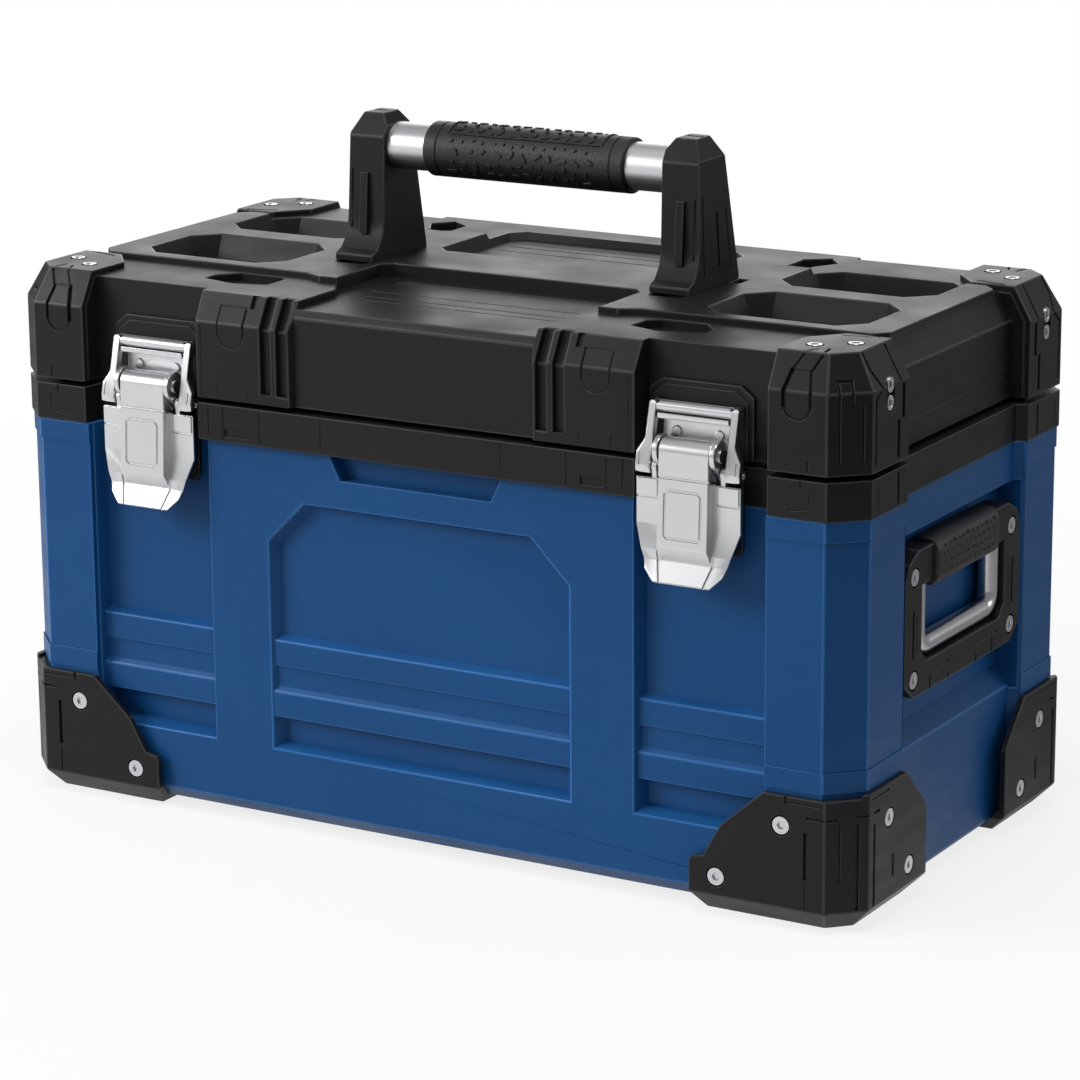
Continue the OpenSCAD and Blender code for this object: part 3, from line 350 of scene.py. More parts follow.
def joined(forms: Sequence[Form]) -> Form:
    """Several forms as one; the parts are freed."""
    whole = bmesh.new()
    for form in forms:
        mesh = meshed("scratch", form)
        whole.from_mesh(mesh)
        bpy.data.meshes.remove(mesh)
    return whole


def arc(centre: Place, radius: float, first: float, last: float,
        steps: int = 8) -> list[tuple[float, float]]:
    """Points on a circle in a plane, between two angles in degrees."""
    turns = [math.radians(first + (last - first) * i / steps) for i in range(steps + 1)]
    return [(centre[0] + radius * math.cos(t), centre[1] + radius * math.sin(t)) for t in turns]


class Look(Enum):
    """Directions from which a line is drawn onto a form, for the front right."""

    FRONT = ((0, 1, 0), (1, 0, 0), (0, 0, 1))
    END = ((-1, 0, 0), (0, 1, 0), (0, 0, 1))
    TOP = ((0, 0, -1), (1, 0, 0), (0, 1, 0))
    CORNER = ((-0.70711, 0.70711, 0), (0.70711, 0.70711, 0), (0, 0, 1))


class Engraver:
    """Draws grooves and raised strips on a form by casting lines onto it.

    A place is two millimetre coordinates seen along a Look: FRONT takes (x, z), END (y, z),
    TOP (x, y) and CORNER (distance along the front right chamfer's diagonal, z).
    """

    far: ClassVar[float] = 600.0
    root: ClassVar[float] = 1.0

    def __init__(self, form: Form, flip_x: bool = False, flip_y: bool = False,
                 lip: float = 0.35, bold: float = 1.0) -> None:
        self.tree = BVHTree.FromBMesh(form)
        self.sign = Vector((-1 if flip_x else 1, -1 if flip_y else 1, 1))
        self.cuts = Solids()
        self.adds = Solids()
        self.lip, self.bold = lip, bold

    def turned(self, vector: Place) -> Vector:
        """A direction or place, mirrored to this corner."""
        return Vector(a * b for a, b in zip(vector, self.sign))

    def hit(self, look: Look, place: Place) -> tuple[Vector, Vector] | None:
        """The point and normal where a line along a look first meets the form."""
        ahead, across, up = (Vector(v) for v in look.value)
        start = -ahead * self.far + across * place[0] + up * place[1]
        point, normal, _, _ = self.tree.ray_cast(self.turned(start) * MM, self.turned(ahead))
        if point is None:
            return None
        return point / MM, normal

    def groove(self, look: Look, places: Sequence[Place], wide: float, deep: float) -> None:
        """Cuts a groove along a row of places."""
        for start, end in zip(places, places[1:]):
            middle = [(a + b) / 2 for a, b in zip(start, end)]
            first, last, mid = (self.hit(look, q) for q in (start, end, middle))
            if first and last and mid:
                self.cuts.channel(first[0], last[0], mid[1], wide * self.bold,
                                  deep * self.bold, self.lip)

    def grooves(self, *looks: Look) -> list[Callable[..., None]]:
        """The groove call for each of some looks."""
        return [partial(self.groove, look) for look in looks]

    def strip(self, look: Look, start: Place, end: Place, wide: float, high: float) -> None:
        """Raises a strip between two places."""
        first, last = self.hit(look, start), self.hit(look, end)
        middle = self.hit(look, [(a + b) / 2 for a, b in zip(start, end)])
        if first and last and middle:
            out = middle[1]
            along = (last[0] - first[0]).normalized()
            side = out.cross(along).normalized() * (wide / 2)
            self.adds.prism((first[0] - side, last[0] - side, last[0] + side, first[0] + side),
                            out, high, self.root)


def mirrored(name: str) -> dict[str, bool]:
    """Flips that carry the front right corner to a named one."""
    return {"flip_x": "left" in name, "flip_y": "rear" in name}


@dataclass(frozen=True)
class CornerCaps:
    """Black caps on the lid's corners, with their tabs, seams and slots."""

    fold: float = 302.0
    fold_gap: float = 0.2
    chamfer: float = 83.37
    top: float = 320.6
    tab_low: tuple[float, float] = (235.5, 251.5)
    tab_high: tuple[float, float] = (238.0, 249.0)
    tab_top: float = 312.6
    tab_round: float = 294.7
    notch: tuple[float, float] = (90.4, 98.0)
    notch_top: float = 308.2
    end_seam: float = -121.5
    bold: float = 1.4
    edge: float = 0.9
    head_share: float = 1.15

    def engrave_tab(self, pen: Engraver) -> None:
        """Draws the round-footed tab on the cap's front and the seams above it."""
        (front,) = pen.grooves(Look.FRONT)
        (left, right), (high_left, high_right) = self.tab_low, self.tab_high
        under, over, top = self.fold - self.fold_gap, self.fold + self.fold_gap, self.tab_top
        middle, radius = (left + right) / 2, (right - left) / 2
        front([(high_left, top), (left, over)], 1.9, 1.6)
        front([(left, under), (left, 293.5)], 1.9, 1.6)
        front(arc((middle, self.tab_round), radius, 185, 355, 10), 0.9, 0.7)
        front([(right, 294.0), (right, under)], 1.3, 1.1)
        front([(right, over), (high_right, top)], 1.3, 1.1)
        front([(high_left, top), (high_right, top)], 0.9, 0.7)
        front([(high_left, top), (242.6, self.top)], 0.9, 0.7)
        front([(249.6, top), (253.6, self.top)], 1.2, 0.9)
        front([(250.0, 259.2), (250.0, 264.0)], 0.8, 0.5)

    def engrave(self, pen: Engraver) -> None:
        """Draws one cap's grooves."""
        self.engrave_tab(pen)
        corner, end, top = pen.grooves(Look.CORNER, Look.END, Look.TOP)
        under, over = self.fold - 2 * self.fold_gap, self.fold + 2 * self.fold_gap
        (near, far), notch_top = self.notch, self.notch_top
        for start, low, high in ((7.0, 264.0, under), (14.6, 296.0, under), (20.4, 264.7, 297)):
            x = self.chamfer + start
            corner([(x, low), (x, high)], 0.9, 0.7)
        corner([(near, over), (near, notch_top)], 0.9, 0.7)
        corner([(near, notch_top), (far, notch_top)], 1.2, 0.9)
        corner([(far, over), (far, notch_top)], 0.9, 0.7)
        seam = self.end_seam
        end([(seam, 262.0), (seam, 296.0)], 1.2, 1.0)
        end([(-114.0, over), (-118.5, 312.0), (-118.5, 320.8)], 1.3, 1.0)
        end([(seam, 296.0), (-114.0, 301.8)], 1.2, 0.9)
        end([(-93.5, 261.0), (-93.5, 280.0)], 2.2, 1.6)
        end([(-88.0, 282.0), (-88.0, 299.0)], 2.4, 1.8)
        end([(-91.5, over), (-91.5, self.top)], 1.2, 0.9)
        top([(243.0, -87.0), (262.0, -82.0)], 1.2, 0.8)
        top([(243.3, -131.0), (246.0, -124.5)], 0.9, 0.7)
        top([(253.6, -131.0), (252.0, -122.0)], 1.1, 0.8)

    def build(self, shop: "Workshop") -> None:
        """Makes the four caps and their screws."""
        for name in CORNERS:
            shop.moulding("corner_cap_" + name, "cap_" + name, "lid", BLACK, Slot.BLACK,
                          self.edge, self.engrave, [name], bold=self.bold)
        shop.screws("cap_screws", "lid", self.head_share)


@dataclass(frozen=True)
class CornerGuards:
    """Black guards on the body's lower corners."""

    chamfer: float = 83.37
    foot: float = 14.0
    shoulder: float = 66.0
    top_seam: float = 73.6
    front_slot: float = 252.0
    end_slot: float = -121.5
    rear_slot: float = -97.5
    bold: float = 1.3
    edge: float = 0.9
    head_share: float = 1.2

    def engrave(self, pen: Engraver) -> None:
        """Draws one guard's grooves."""
        front, corner, end = pen.grooves(Look.FRONT, Look.CORNER, Look.END)
        x, foot, high, seam = self.front_slot, self.foot, self.shoulder, self.top_seam
        front([(x, 31.0), (x, 57.0)], 1.7, 1.4)
        front([(x + 1.0, high), (x + 11.0, high)], 1.1, 0.9)
        front([(x, foot), (x, 28.0)], 0.9, 0.6)
        front([(240.0, 73.0), (240.0, 76.4)], 1.2, 0.9)
        front([(212.0, seam), (239.0, seam)], 0.7, 0.5)
        front([(241.0, seam), (262.0, seam)], 0.7, 0.5)
        near, middle, far = (self.chamfer + step for step in (1.0, 8.6, 19.0))
        corner([(near, high), (near + 6.0, high)], 1.1, 0.9)
        corner([(middle, 30.0), (middle, 63.0)], 1.0, 0.8)
        corner([(far, foot), (far, 62.0)], 1.6, 1.3)
        corner([(far, high + 1.0), (far + 6.0, high + 1.0)], 1.1, 0.9)
        y = self.end_slot
        end([(y, foot), (y, 60.0)], 1.6, 1.3)
        end([(y, high + 1.0), (y + 5.5, high + 1.0)], 1.1, 0.9)
        end([(self.rear_slot, 24.0), (self.rear_slot, 62.0)], 1.5, 1.2)
        end([(-125.0, 75.4), (-104.0, 75.4)], 0.7, 0.5)

    def build(self, shop: "Workshop") -> None:
        """Makes the four guards and their screws."""
        for name in CORNERS:
            shop.moulding("corner_guard_" + name, "protector_" + name, "case", BLACK, Slot.BLACK,
                          self.edge, self.engrave, [name], bold=self.bold)
        shop.screws("protector_screws", "case", self.head_share)


@dataclass(frozen=True)
class Body:
    """Blue moulded body, the black rim band on it and its seal."""

    band_low: float = 236.0
    band_high: float = 252.6
    edge: float = 0.9
    rim_edge: float = 0.7
    seal_edge: float = 0.3

    def engrave_rim(self, pen: Engraver) -> None:
        """Draws one quarter of the rim band's seams and recesses."""
        front, end = pen.grooves(Look.FRONT, Look.END)
        low, high = self.band_low, self.band_high
        for x, foot in ((102.0, low - 1.0), (127.5, low - 1.5), (137.7, low)):
            front([(x, foot), (x, high)], 0.8, 0.6)
        front([(112.0, 237.8), (125.0, 237.8)], 4.6, 0.9)
        front([(246.0, 250.6), (246.0, 253.4)], 1.0, 0.7)
        front([(251.3, 247.0), (251.3, 240.0), (248.5, 237.6), (239.0, 236.6)], 0.8, 0.5)
        front([(60.0, low), (60.0, high)], 0.7, 0.5)
        end([(-118.0, low), (-118.0, 248.0)], 0.8, 0.5)
        end([(-93.0, low - 1.0), (-93.0, 251.0)], 2.2, 1.4)

    def build(self, shop: "Workshop") -> None:
        """Makes the body, the rim band and the seal."""
        shop.moulding("body_moulding", "case_shell", "case", BLUE, Slot.BODY, self.edge)
        shop.moulding("rim_moulding", "rim_band", "case", BLACK, Slot.BLACK, self.rim_edge,
                      self.engrave_rim, CORNERS)
        shop.moulding("seal_cord", "lid_seal", "case", SEAL, Slot.SEAL, self.seal_edge)


@dataclass(frozen=True)
class Lid:
    """Black moulded lid with pods, tabs and trays."""

    fold: float = 302.0
    fold_gap: float = 0.2
    tab: tuple[float, float] = (112.0, 129.7)
    tab_top: float = 311.5
    tab_foot: float = 296.0
    tab_round: float = 296.8
    front_tray_lines: tuple[float, ...] = (-86.0, -72.0, -44.0)
    rear_tray_lines: tuple[float, ...] = (40.0, 96.0)
    edge: float = 0.9

    def engrave(self, pen: Engraver) -> None:
        """Draws one quarter of the lid's grooves."""
        front, above, end = pen.grooves(Look.FRONT, Look.TOP, Look.END)
        (left, right), top, foot = self.tab, self.tab_top, self.tab_foot
        under, over = self.fold - self.fold_gap, self.fold + self.fold_gap
        middle, radius = (left + right) / 2, (right - left) / 2
        front([(left, top), (left, over)], 1.2, 1.0)
        front([(left, under), (left, foot)], 1.2, 1.0)
        front(arc((middle, self.tab_round), radius, 184, 356, 10), 0.8, 0.6)
        front([(right, foot), (right, under)], 0.9, 0.7)
        front([(right, over), (right, top)], 0.9, 0.7)
        front([(left, top), (right, top)], 0.9, 0.7)
        front([(107.6, 312.5), (107.6, 317.6)], 4.4, 2.0)
        front([(130.4, 258.6), (130.4, 265.0)], 0.8, 0.5)
        front([(110.0, 259.0), (110.0, 264.0)], 0.8, 0.5)
        front([(141.5, 259.0), (141.5, 300.0)], 0.7, 0.5)
        for y in self.front_tray_lines:
            above([(1.0, y), (70.0, y)], 0.9, 0.35)
        for y in self.rear_tray_lines:
            above([(1.0, y), (68.0, y)], 0.9, 0.35)
        end([(-70.0, 272.0), (70.0, 272.0)], 0.8, 0.4)

    def build(self, shop: "Workshop") -> None:
        """Makes the lid."""
        shop.moulding("lid_moulding", "lid_shell", "lid", BLACK, Slot.BLACK, self.edge,
                      self.engrave, CORNERS)


@dataclass(frozen=True)
class TopHandle:
    """Two towers, the aluminium tube between them and its rubber grip.

    A row of the grip's relief is its turn round the tube from the front, in degrees, the
    step between its bars and their half length.
    """

    tube_y: float = -2.0
    tube_z: float = 388.0
    grip_r: float = 16.3
    collar: float = 58.5
    relief_high: float = 0.8
    relief_half: float = 48.0
    rows: tuple[tuple[float, float, float], ...] = (
        (-38, 8.5, 3.4), (-16, 7.5, 2.2), (6, 8.5, 3.4), (30, 7.0, 1.5), (56, 7.5, 2.8),
        (76, 9.0, 1.4), (96, 7.0, 2.8), (116, 8.0, 1.6), (150, 8.0, 3.0), (185, 8.0, 3.0))
    border_turns: tuple[float, float] = (45.0, 126.0)
    border_x: float = 51.5
    border_wide: float = 0.45
    tower_edge: float = 0.9
    tube_edge: float = 0.3
    grip_edge: float = 0.4

    def engrave(self, pen: Engraver) -> None:
        """Draws one tower's ribs, seams and slots."""
        front, end, top = pen.grooves(Look.FRONT, Look.END, Look.TOP)
        pen.strip(Look.FRONT, (106.5, 336.8), (106.5, 373.4), 5.2, 1.9)
        front([(115.5, 340.0), (115.5, 374.0)], 1.1, 0.9)
        end([(-14.5, 330.0), (-14.5, 375.5)], 1.2, 0.9)
        end([(4.0, 334.0), (2.0, 364.0)], 2.2, 1.5)
        end([(17.5, 330.0), (12.5, 366.0)], 0.9, 0.7)
        top([(102.0, -2.0), (111.0, -2.0)], 3.0, 0.4)

    def lay(self, solids: Solids, x: float, turn: float, half: float, wide: float,
            lean: float) -> None:
        """Lays one pointed bar on the grip.

        Args:
            solids: where the bar goes.
            x: its place along the tube.
            turn: its place round the tube, in degrees.
            half: its half length.
            wide: its half width.
            lean: the angle between it and the tube, in degrees.
        """
        angle, way = math.radians(turn), math.radians(lean)
        out = Vector((0, -math.cos(angle), math.sin(angle)))
        around = Vector((0, math.sin(angle), math.cos(angle)))
        along = Vector((math.cos(way), 0, 0)) + around * math.sin(way)
        side = out.cross(along)
        centre = Vector((x, self.tube_y, self.tube_z)) + out * self.grip_r
        corners = ((-half, 0), (-half + wide, -wide), (half - wide, -wide), (half, 0),
                   (half - wide, wide), (-half + wide, wide))
        solids.prism([centre + along * a + side * b for a, b in corners], out,
                     self.relief_high, 1.0)

    def relief(self) -> Form:
        """Raised bars and beads of the grip, scattered in rows, and the borders round them."""
        solids, draw = Solids(), random.Random(11)
        for row, (turn, step, long) in enumerate(self.rows):
            x = -self.relief_half + (row % 3) * 1.7
            while x < self.relief_half + 1.0:
                self.lay(solids, x + draw.uniform(-0.8, 0.8), turn + draw.uniform(-4, 4),
                         long * draw.uniform(0.75, 1.15), draw.uniform(1.0, 1.4),
                         draw.uniform(-70, 70))
                x += step * draw.uniform(0.85, 1.15)
        for turn in self.border_turns:
            for x in range(-45, 46, 10):
                self.lay(solids, x, turn, 5.4, self.border_wide, 0.0)
        for x in (-self.border_x, self.border_x):
            for turn in range(52, 122, 10):
                self.lay(solids, x, turn, 1.9, self.border_wide, 90.0)
        return solids.placed()

    def collars(self, step: int = 15) -> Form:
        """Cutter of the two grooves round the grip, near its ends."""
        cuts, axis = Solids(), Vector((0, self.tube_y, self.tube_z))
        for x in (-self.collar, self.collar):
            for turn in range(0, 360, step):
                ends = [Vector((x, self.tube_y - self.grip_r * math.cos(angle),
                                self.tube_z + self.grip_r * math.sin(angle)))
                        for angle in (math.radians(turn), math.radians(turn + step))]
                middle = (ends[0] + ends[1]) / 2 - axis - Vector((x, 0, 0))
                cuts.channel(ends[0], ends[1], middle, 0.8, 0.35)
        return cuts.placed()

    def build(self, shop: "Workshop") -> None:
        """Makes the towers, the tube and the grip."""
        for side in SIDES:
            shop.moulding("handle_tower_" + side, "tower_" + side, "lid", BLACK, Slot.BLACK,
                          self.tower_edge, self.engrave, [side])
        shop.moulding("handle_tube_bar", "handle_tube", "lid", TUBE, Slot.TUBE, self.tube_edge)
        sleeve = shop.carve(shop.cast("handle_grip"), self.collars(), GRIP)
        shop.piece("handle_sleeve", joined((sleeve, self.relief())), "lid", GRIP,
                   ["handle_grip"], self.grip_edge * MM)
        shop.screws("tower_screws", "lid")


@dataclass(frozen=True)
class EndHandles:
    """Framed handles on the case's ends, with a steel loop and a rubber sleeve."""

    slot_y: float = 66.5
    foot: float = 117.0
    notches: tuple[tuple[float, float], ...] = ((-44.0, 7.0), (-20.0, 3.0), (18.0, 3.0),
                                                (40.0, 8.0))
    seam: float = 127.0
    bead_rows: tuple[float, ...] = (182.0, 187.0, 192.0, 197.0)
    bead_x: float = 280.7
    bead_count: int = 12
    bead_step: float = 6.0
    frame_edge: float = 1.0
    sleeve_edge: float = 3.4
    head_share: float = 1.15

    def engrave(self, pen: Engraver) -> None:
        """Draws one frame's slots and notches."""
        (end,) = pen.grooves(Look.END)
        for y in (-self.slot_y, self.slot_y):
            end([(y, 140.0), (y, 166.0)], 2.0, 1.6)
            end([(y * 0.93, 143.0), (y * 0.93, 163.0)], 0.7, 0.5)
        for y, high in self.notches:
            end([(y, self.foot), (y, self.foot + high)], 1.5, 1.1)
        for near, far in ((-44.0, -20.0), (10.0, 46.0)):
            end([(near, self.seam), (far, self.seam)], 0.8, 0.5)

    def beads(self, side: str) -> Form:
        """Raised beads on the sleeve, scattered in rows."""
        solids, draw = Solids(), random.Random(5)
        upright = Matrix.Rotation(math.radians(90), 4, "Y")
        first = -(self.bead_count - 1) * self.bead_step / 2 - 1.0
        for row, z in enumerate(self.bead_rows):
            for column in range(self.bead_count):
                y = (first + self.bead_step * column + (self.bead_step / 2 if row % 2 else 0.0)
                     + draw.uniform(-0.7, 0.7))
                radius = draw.uniform(0.8, 1.7)
                place = Matrix.Translation((self.bead_x, y, z + draw.uniform(-0.5, 0.5)))
                bmesh.ops.create_cone(solids.form, cap_ends=True, segments=8, radius1=radius,
                                      radius2=radius * 0.5, depth=1.4, matrix=place @ upright)
        return solids.placed(**mirrored(side))

    def build(self, shop: "Workshop") -> None:
        """Makes both handles."""
        for side in SIDES:
            shop.moulding("handle_frame_" + side, "end_frame_" + side, "case", BLACK, Slot.BLACK,
                          self.frame_edge, self.engrave, [side])
            shop.moulding("handle_loop_" + side, "end_loop_" + side, "case", LOOP, Slot.LOOP, 0.0)
            shop.piece("handle_sleeve_" + side, shop.cast("end_grip_" + side), "case", GRIP,
                       ["end_grip_" + side], self.sleeve_edge * MM, 5)
            shop.piece("sleeve_beads_" + side, self.beads(side), "case", GRIP)
        shop.screws("end_screws", "case", self.head_share)


@dataclass(frozen=True)
class Latches:
    """Two draw latches: base, lever, bail, keeper and pads."""

    centre: float = 179.3
    panel_half: float = 11.0
    panel_low: float = 214.5
    panel_high: float = 241.0
    low_corner: float = 1.5
    high_corner: float = 2.0
    fold: float = 247.8
    wing: float = 234.6
    wing_lip: float = 25.0
    lower_fold: float = 200.0
    bar_gap: float = 22.9
    leg_dent: float = 29.6
    edge: float = 0.55

    def engrave_lever(self, pen: Engraver) -> None:
        """Draws the lever's folds, inset panel and wing seams."""
        (front,) = pen.grooves(Look.FRONT)
        c, half, low, high = self.centre, self.panel_half, self.panel_low, self.panel_high
        flank = ((half - self.low_corner, low), (half, low + self.low_corner),
                 (half, high - self.high_corner), (half - self.high_corner, high))
        inset = [(c - flank[0][0], low)] + [(c + x, z) for x, z in flank]
        inset += [(c - x, z) for x, z in flank[::-1]]
        front(inset, 1.0, 0.6)
        front([(c - 15.2, self.fold), (c + 15.2, self.fold)], 1.0, 0.7)
        over, under = self.lower_fold + 0.3, self.lower_fold - 0.3
        for s in (-1, 1):
            lip = c + s * self.wing_lip
            front([(c + s * 17.4, 205.5), (c + s * 16.6, over)], 1.3, 0.8)
            front([(c + s * 16.6, under), (c + s * 13.6, 189.6)], 1.3, 0.8)
            front([(c + s * 18.0, self.wing), (c + s * 31.5, self.wing)], 1.1, 0.7)
            pen.strip(Look.FRONT, (lip, self.wing + 0.8), (lip, self.wing + 10.6), 12.6, 1.1)
            front([(c + s * 16.9, 208.0), (c + s * 16.9, 246.0)], 1.8, 1.3)

    def engrave_bail(self, pen: Engraver) -> None:
        """Draws the gaps beside the bail's bar and the dents in its legs."""
        front, top = pen.grooves(Look.FRONT, Look.TOP)
        for s in (-1, 1):
            x = self.centre + s * self.bar_gap
            front([(x, 281.0), (x, 286.6)], 0.9, 1.0)
            top([(x, -138.6), (x, -133.4)], 0.9, 1.0)
            x = self.centre + s * self.leg_dent
            front([(x, 252.5), (x, 259.0)], 0.9, 0.5)

    def build(self, shop: "Workshop") -> None:
        """Makes both latches."""
        for side in SIDES:
            for part, lip, engrave in (("lever_", 0.25, self.engrave_lever),
                                       ("bail_", 0.2, self.engrave_bail)):
                node = part + side
                shop.moulding("latch_" + node, node, node, LATCH, Slot.LATCH, self.edge,
                              engrave, [side], lip=lip)
            for part, finish, slot, body, width in (
                    ("bail_pins_", SCREW, Slot.FASTENER, "lever_" + side, 0.3),
                    ("latch_mount_", BLACK, Slot.BLACK, "case", 0.8),
                    ("latch_base_", LATCH, Slot.LATCH, "case", 0.4),
                    ("latch_pad_", BLACK, Slot.BLACK, "lid", 0.8),
                    ("keeper_", LATCH, Slot.LATCH, "lid", 0.35)):
                node = part + side
                shop.moulding(node + "_part", node, body, finish, slot, width)
        shop.screws("latch_base_screws", "case")
        shop.screws("lever_pins", "case")
        shop.screws("keeper_rivets", "lid", finish=LATCH)


@dataclass(frozen=True)
class Hinges:
    """Steel leaf hinges on the rear."""

    edge: float = 0.3

    def build(self, shop: "Workshop") -> None:
        """Makes the leaves, pins and screws."""
        for node, body in (("hinge_lower", "case"), ("hinge_pins", "case"),
                           ("hinge_upper", "lid")):
            shop.moulding(node + "_part", node, body, HINGE, Slot.HINGE, self.edge)
        shop.screws("hinge_lower_screws", "case")
        shop.screws("hinge_upper_screws", "lid")


class Workshop:
    """Builds pieces from meshes and keeps one copy of each finish.

    Attributes:
        strip_edge: the rounding of raised strips.
        head_edge: the rounding of fasteners, and head_fold their smallest rounded fold.
        fill: the share of the room beside an edge that its rounding may take.
        skew: the least slant, as a sine, at which a neighbouring edge limits that room.
        rim: the share of a head's radius beyond which a corner belongs to its rim.
    """

    strip_edge: ClassVar[float] = 0.5 * MM
    head_edge: ClassVar[float] = 0.8 * MM
    head_fold: ClassVar[float] = 30.0
    fill: ClassVar[float] = 0.45
    skew: ClassVar[float] = 0.35
    rim: ClassVar[float] = 0.75

    def __init__(self) -> None:
        self.materials: dict[str, Material] = {}

    def paint(self, finish: Finish, edge: bool = False) -> Material:
        """A finish's material, made once."""
        key = finish.name + ("_edge" if edge else "")
        if key not in self.materials:
            self.materials[key] = finish.build(edge)
        return self.materials[key]

    @staticmethod
    def cast(node: str) -> Form:
        """A copy of a CAD node's mesh, merged, with its flat faces joined."""
        form = bmesh.new()
        form.from_mesh(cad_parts[node].data)
        bmesh.ops.remove_doubles(form, verts=form.verts, dist=WELD)
        bmesh.ops.dissolve_degenerate(form, edges=form.edges, dist=WELD)
        bmesh.ops.dissolve_limit(form, angle_limit=FLAT, verts=form.verts, edges=form.edges,
                                 use_dissolve_boundaries=False)
        bmesh.ops.connect_verts_concave(form, faces=form.faces)
        bmesh.ops.dissolve_degenerate(form, edges=form.edges, dist=SLIVER)
        bmesh.ops.recalc_face_normals(form, faces=form.faces)
        return form

    def coated(self, name: str, form: Form, finish: Finish) -> bpy.types.Object:
        """A form as an object with a finish and its edge variant; the form is freed."""
        mesh = meshed(name, form)
        for edge in (False, True):
            mesh.materials.append(self.paint(finish, edge))
        return stood(name, mesh)

    def baked(self, form: Form, finish: Finish,
              dress: Callable[[bpy.types.Object], None]) -> Form:
        """A form after a modifier.

        Args:
            form: the mesh; it is freed.
            finish: its finish, whose edge variant is the second slot.
            dress: adds the modifier to a scratch object.

        Returns:
            The changed mesh.
        """
        thing = self.coated("scratch", form, finish)
        dress(thing)
        bpy.context.view_layer.update()
        result = bmesh.new()
        result.from_object(thing, bpy.context.evaluated_depsgraph_get())
        bpy.data.meshes.remove(thing.data)
        return result

    def carve(self, form: Form, cutter: Form, finish: Finish) -> Form:
        """Takes one form out of another; both are freed."""
        tool = self.coated("cutter", cutter, finish)

        def dress(thing: bpy.types.Object) -> None:
            cut = thing.modifiers.new("carve", "BOOLEAN")
            cut.operation, cut.solver, cut.use_self, cut.object = "DIFFERENCE", "EXACT", True, tool

        result = self.baked(form, finish, dress)
        bpy.data.meshes.remove(tool.data)
        bmesh.ops.remove_doubles(result, verts=result.verts, dist=CUT_WELD)
        return result

    def rounded(self, form: Form, finish: Finish, width: float, segments: int) -> Form:
        """A form with its weighted edges rounded; the roundings take the edge variant, which on
        plastic is a painted highlight.
        """
        def dress(thing: bpy.types.Object) -> None:
            rounding = thing.modifiers.new("rounding", "BEVEL")
            rounding.width, rounding.segments, rounding.limit_method = width, segments, "WEIGHT"
            rounding.use_clamp_overlap = False
            # Roundings take the second slot, the edge variant; on plastic it paints a highlight.
            rounding.material = 1

        return self.baked(form, finish, dress)

    @classmethod
    def weigh_edges(cls, form: Form, width: float, sharp: float) -> None:
        """Gives each sharp convex edge the share of the rounding that fits beside it.

        Args:
            form: the mesh; its bevel_weight_edge layer is written.
            width: the full rounding.
            sharp: the smallest fold, in degrees, that is rounded.
        """
        layers = form.edges.layers.float
        layer = layers.get("bevel_weight_edge") or layers.new("bevel_weight_edge")
        limit = math.radians(sharp)
        for edge in form.edges:
            if (len(edge.link_faces) != 2 or edge.calc_face_angle(0.0) < limit
                    or not edge.is_convex):
                continue
            room = edge.calc_length()
            for face in edge.link_faces:
                for corner in edge.verts:
                    for other in corner.link_edges:
                        if other is edge or face not in other.link_faces:
                            continue
                        along = (edge.other_vert(corner).co - corner.co).normalized()
                        arm = other.other_vert(corner).co - corner.co
                        across = arm.cross(along).length
                        if across > cls.skew * arm.length:
                            room = min(room, across)
            edge[layer] = min(1.0, cls.fill * room / width)

    @classmethod
    def widen_heads(cls, form: Form, share: float) -> None:
        """Widens the heads of fasteners whose shanks run along an axis.

        Args:
            form: the fasteners, each a loose part; its head is wider than its shank.
            share: the head's new radius over its old one.
        """
        left = set(form.verts)
        while left:
            part, reached = set(), [left.pop()]
            while reached:
                corner = reached.pop()
                part.add(corner)
                near = {link.other_vert(corner) for link in corner.link_edges} & left
                left -= near
                reached.extend(near)
            lows = Vector(min(v.co[i] for v in part) for i in range(3))
            highs = Vector(max(v.co[i] for v in part) for i in range(3))
            centre, spans = (lows + highs) / 2, highs - lows
            axis = min(range(3), key=lambda i: abs(spans[i - 1] - spans[i - 2]))
            reach = max(spans[i] for i in range(3) if i != axis) / 2
            for corner in part:
                arm = corner.co - centre
                arm[axis] = 0.0
                if arm.length > cls.rim * reach:
                    corner.co += arm * (share - 1.0)

    def moulding(self, name: str, node: str, body: str, finish: Finish, slot: Slot, edge: float,
                 draw: Callable[[Engraver], None] | None = None, corners: Sequence[str] = (),
                 **settings: float) -> None:
        """Finishes a CAD node, with the same lines drawn at each of some corners.

        Args:
            name: the piece's name.
            node: the CAD node.
            body: the body it rides on.
            finish: its material.
            slot: the record's slot for that material; not used.
            edge: the edge rounding, in millimetres; 0 leaves the edges as they are.
            draw: draws the lines of the front right.
            corners: the corners or sides that have these lines.
            settings: the Engraver's lip and bold.
        """
        form = self.cast(node)
        pens = [Engraver(form, **mirrored(corner), **settings) for corner in corners]
        for pen in pens:
            draw(pen)
        self.piece(name, form, body, finish, [node], edge * MM, pens=pens)

    def screws(self, node: str, body: str, share: float = 1.0, finish: Metal = SCREW) -> None:
        """Finishes a node of fasteners, with their heads well rounded."""
        form = self.cast(node)
        if share > 1.0:
            self.widen_heads(form, share)
        self.piece(node + "_part", form, body, finish, [node], self.head_edge, 3,
                   self.head_fold)

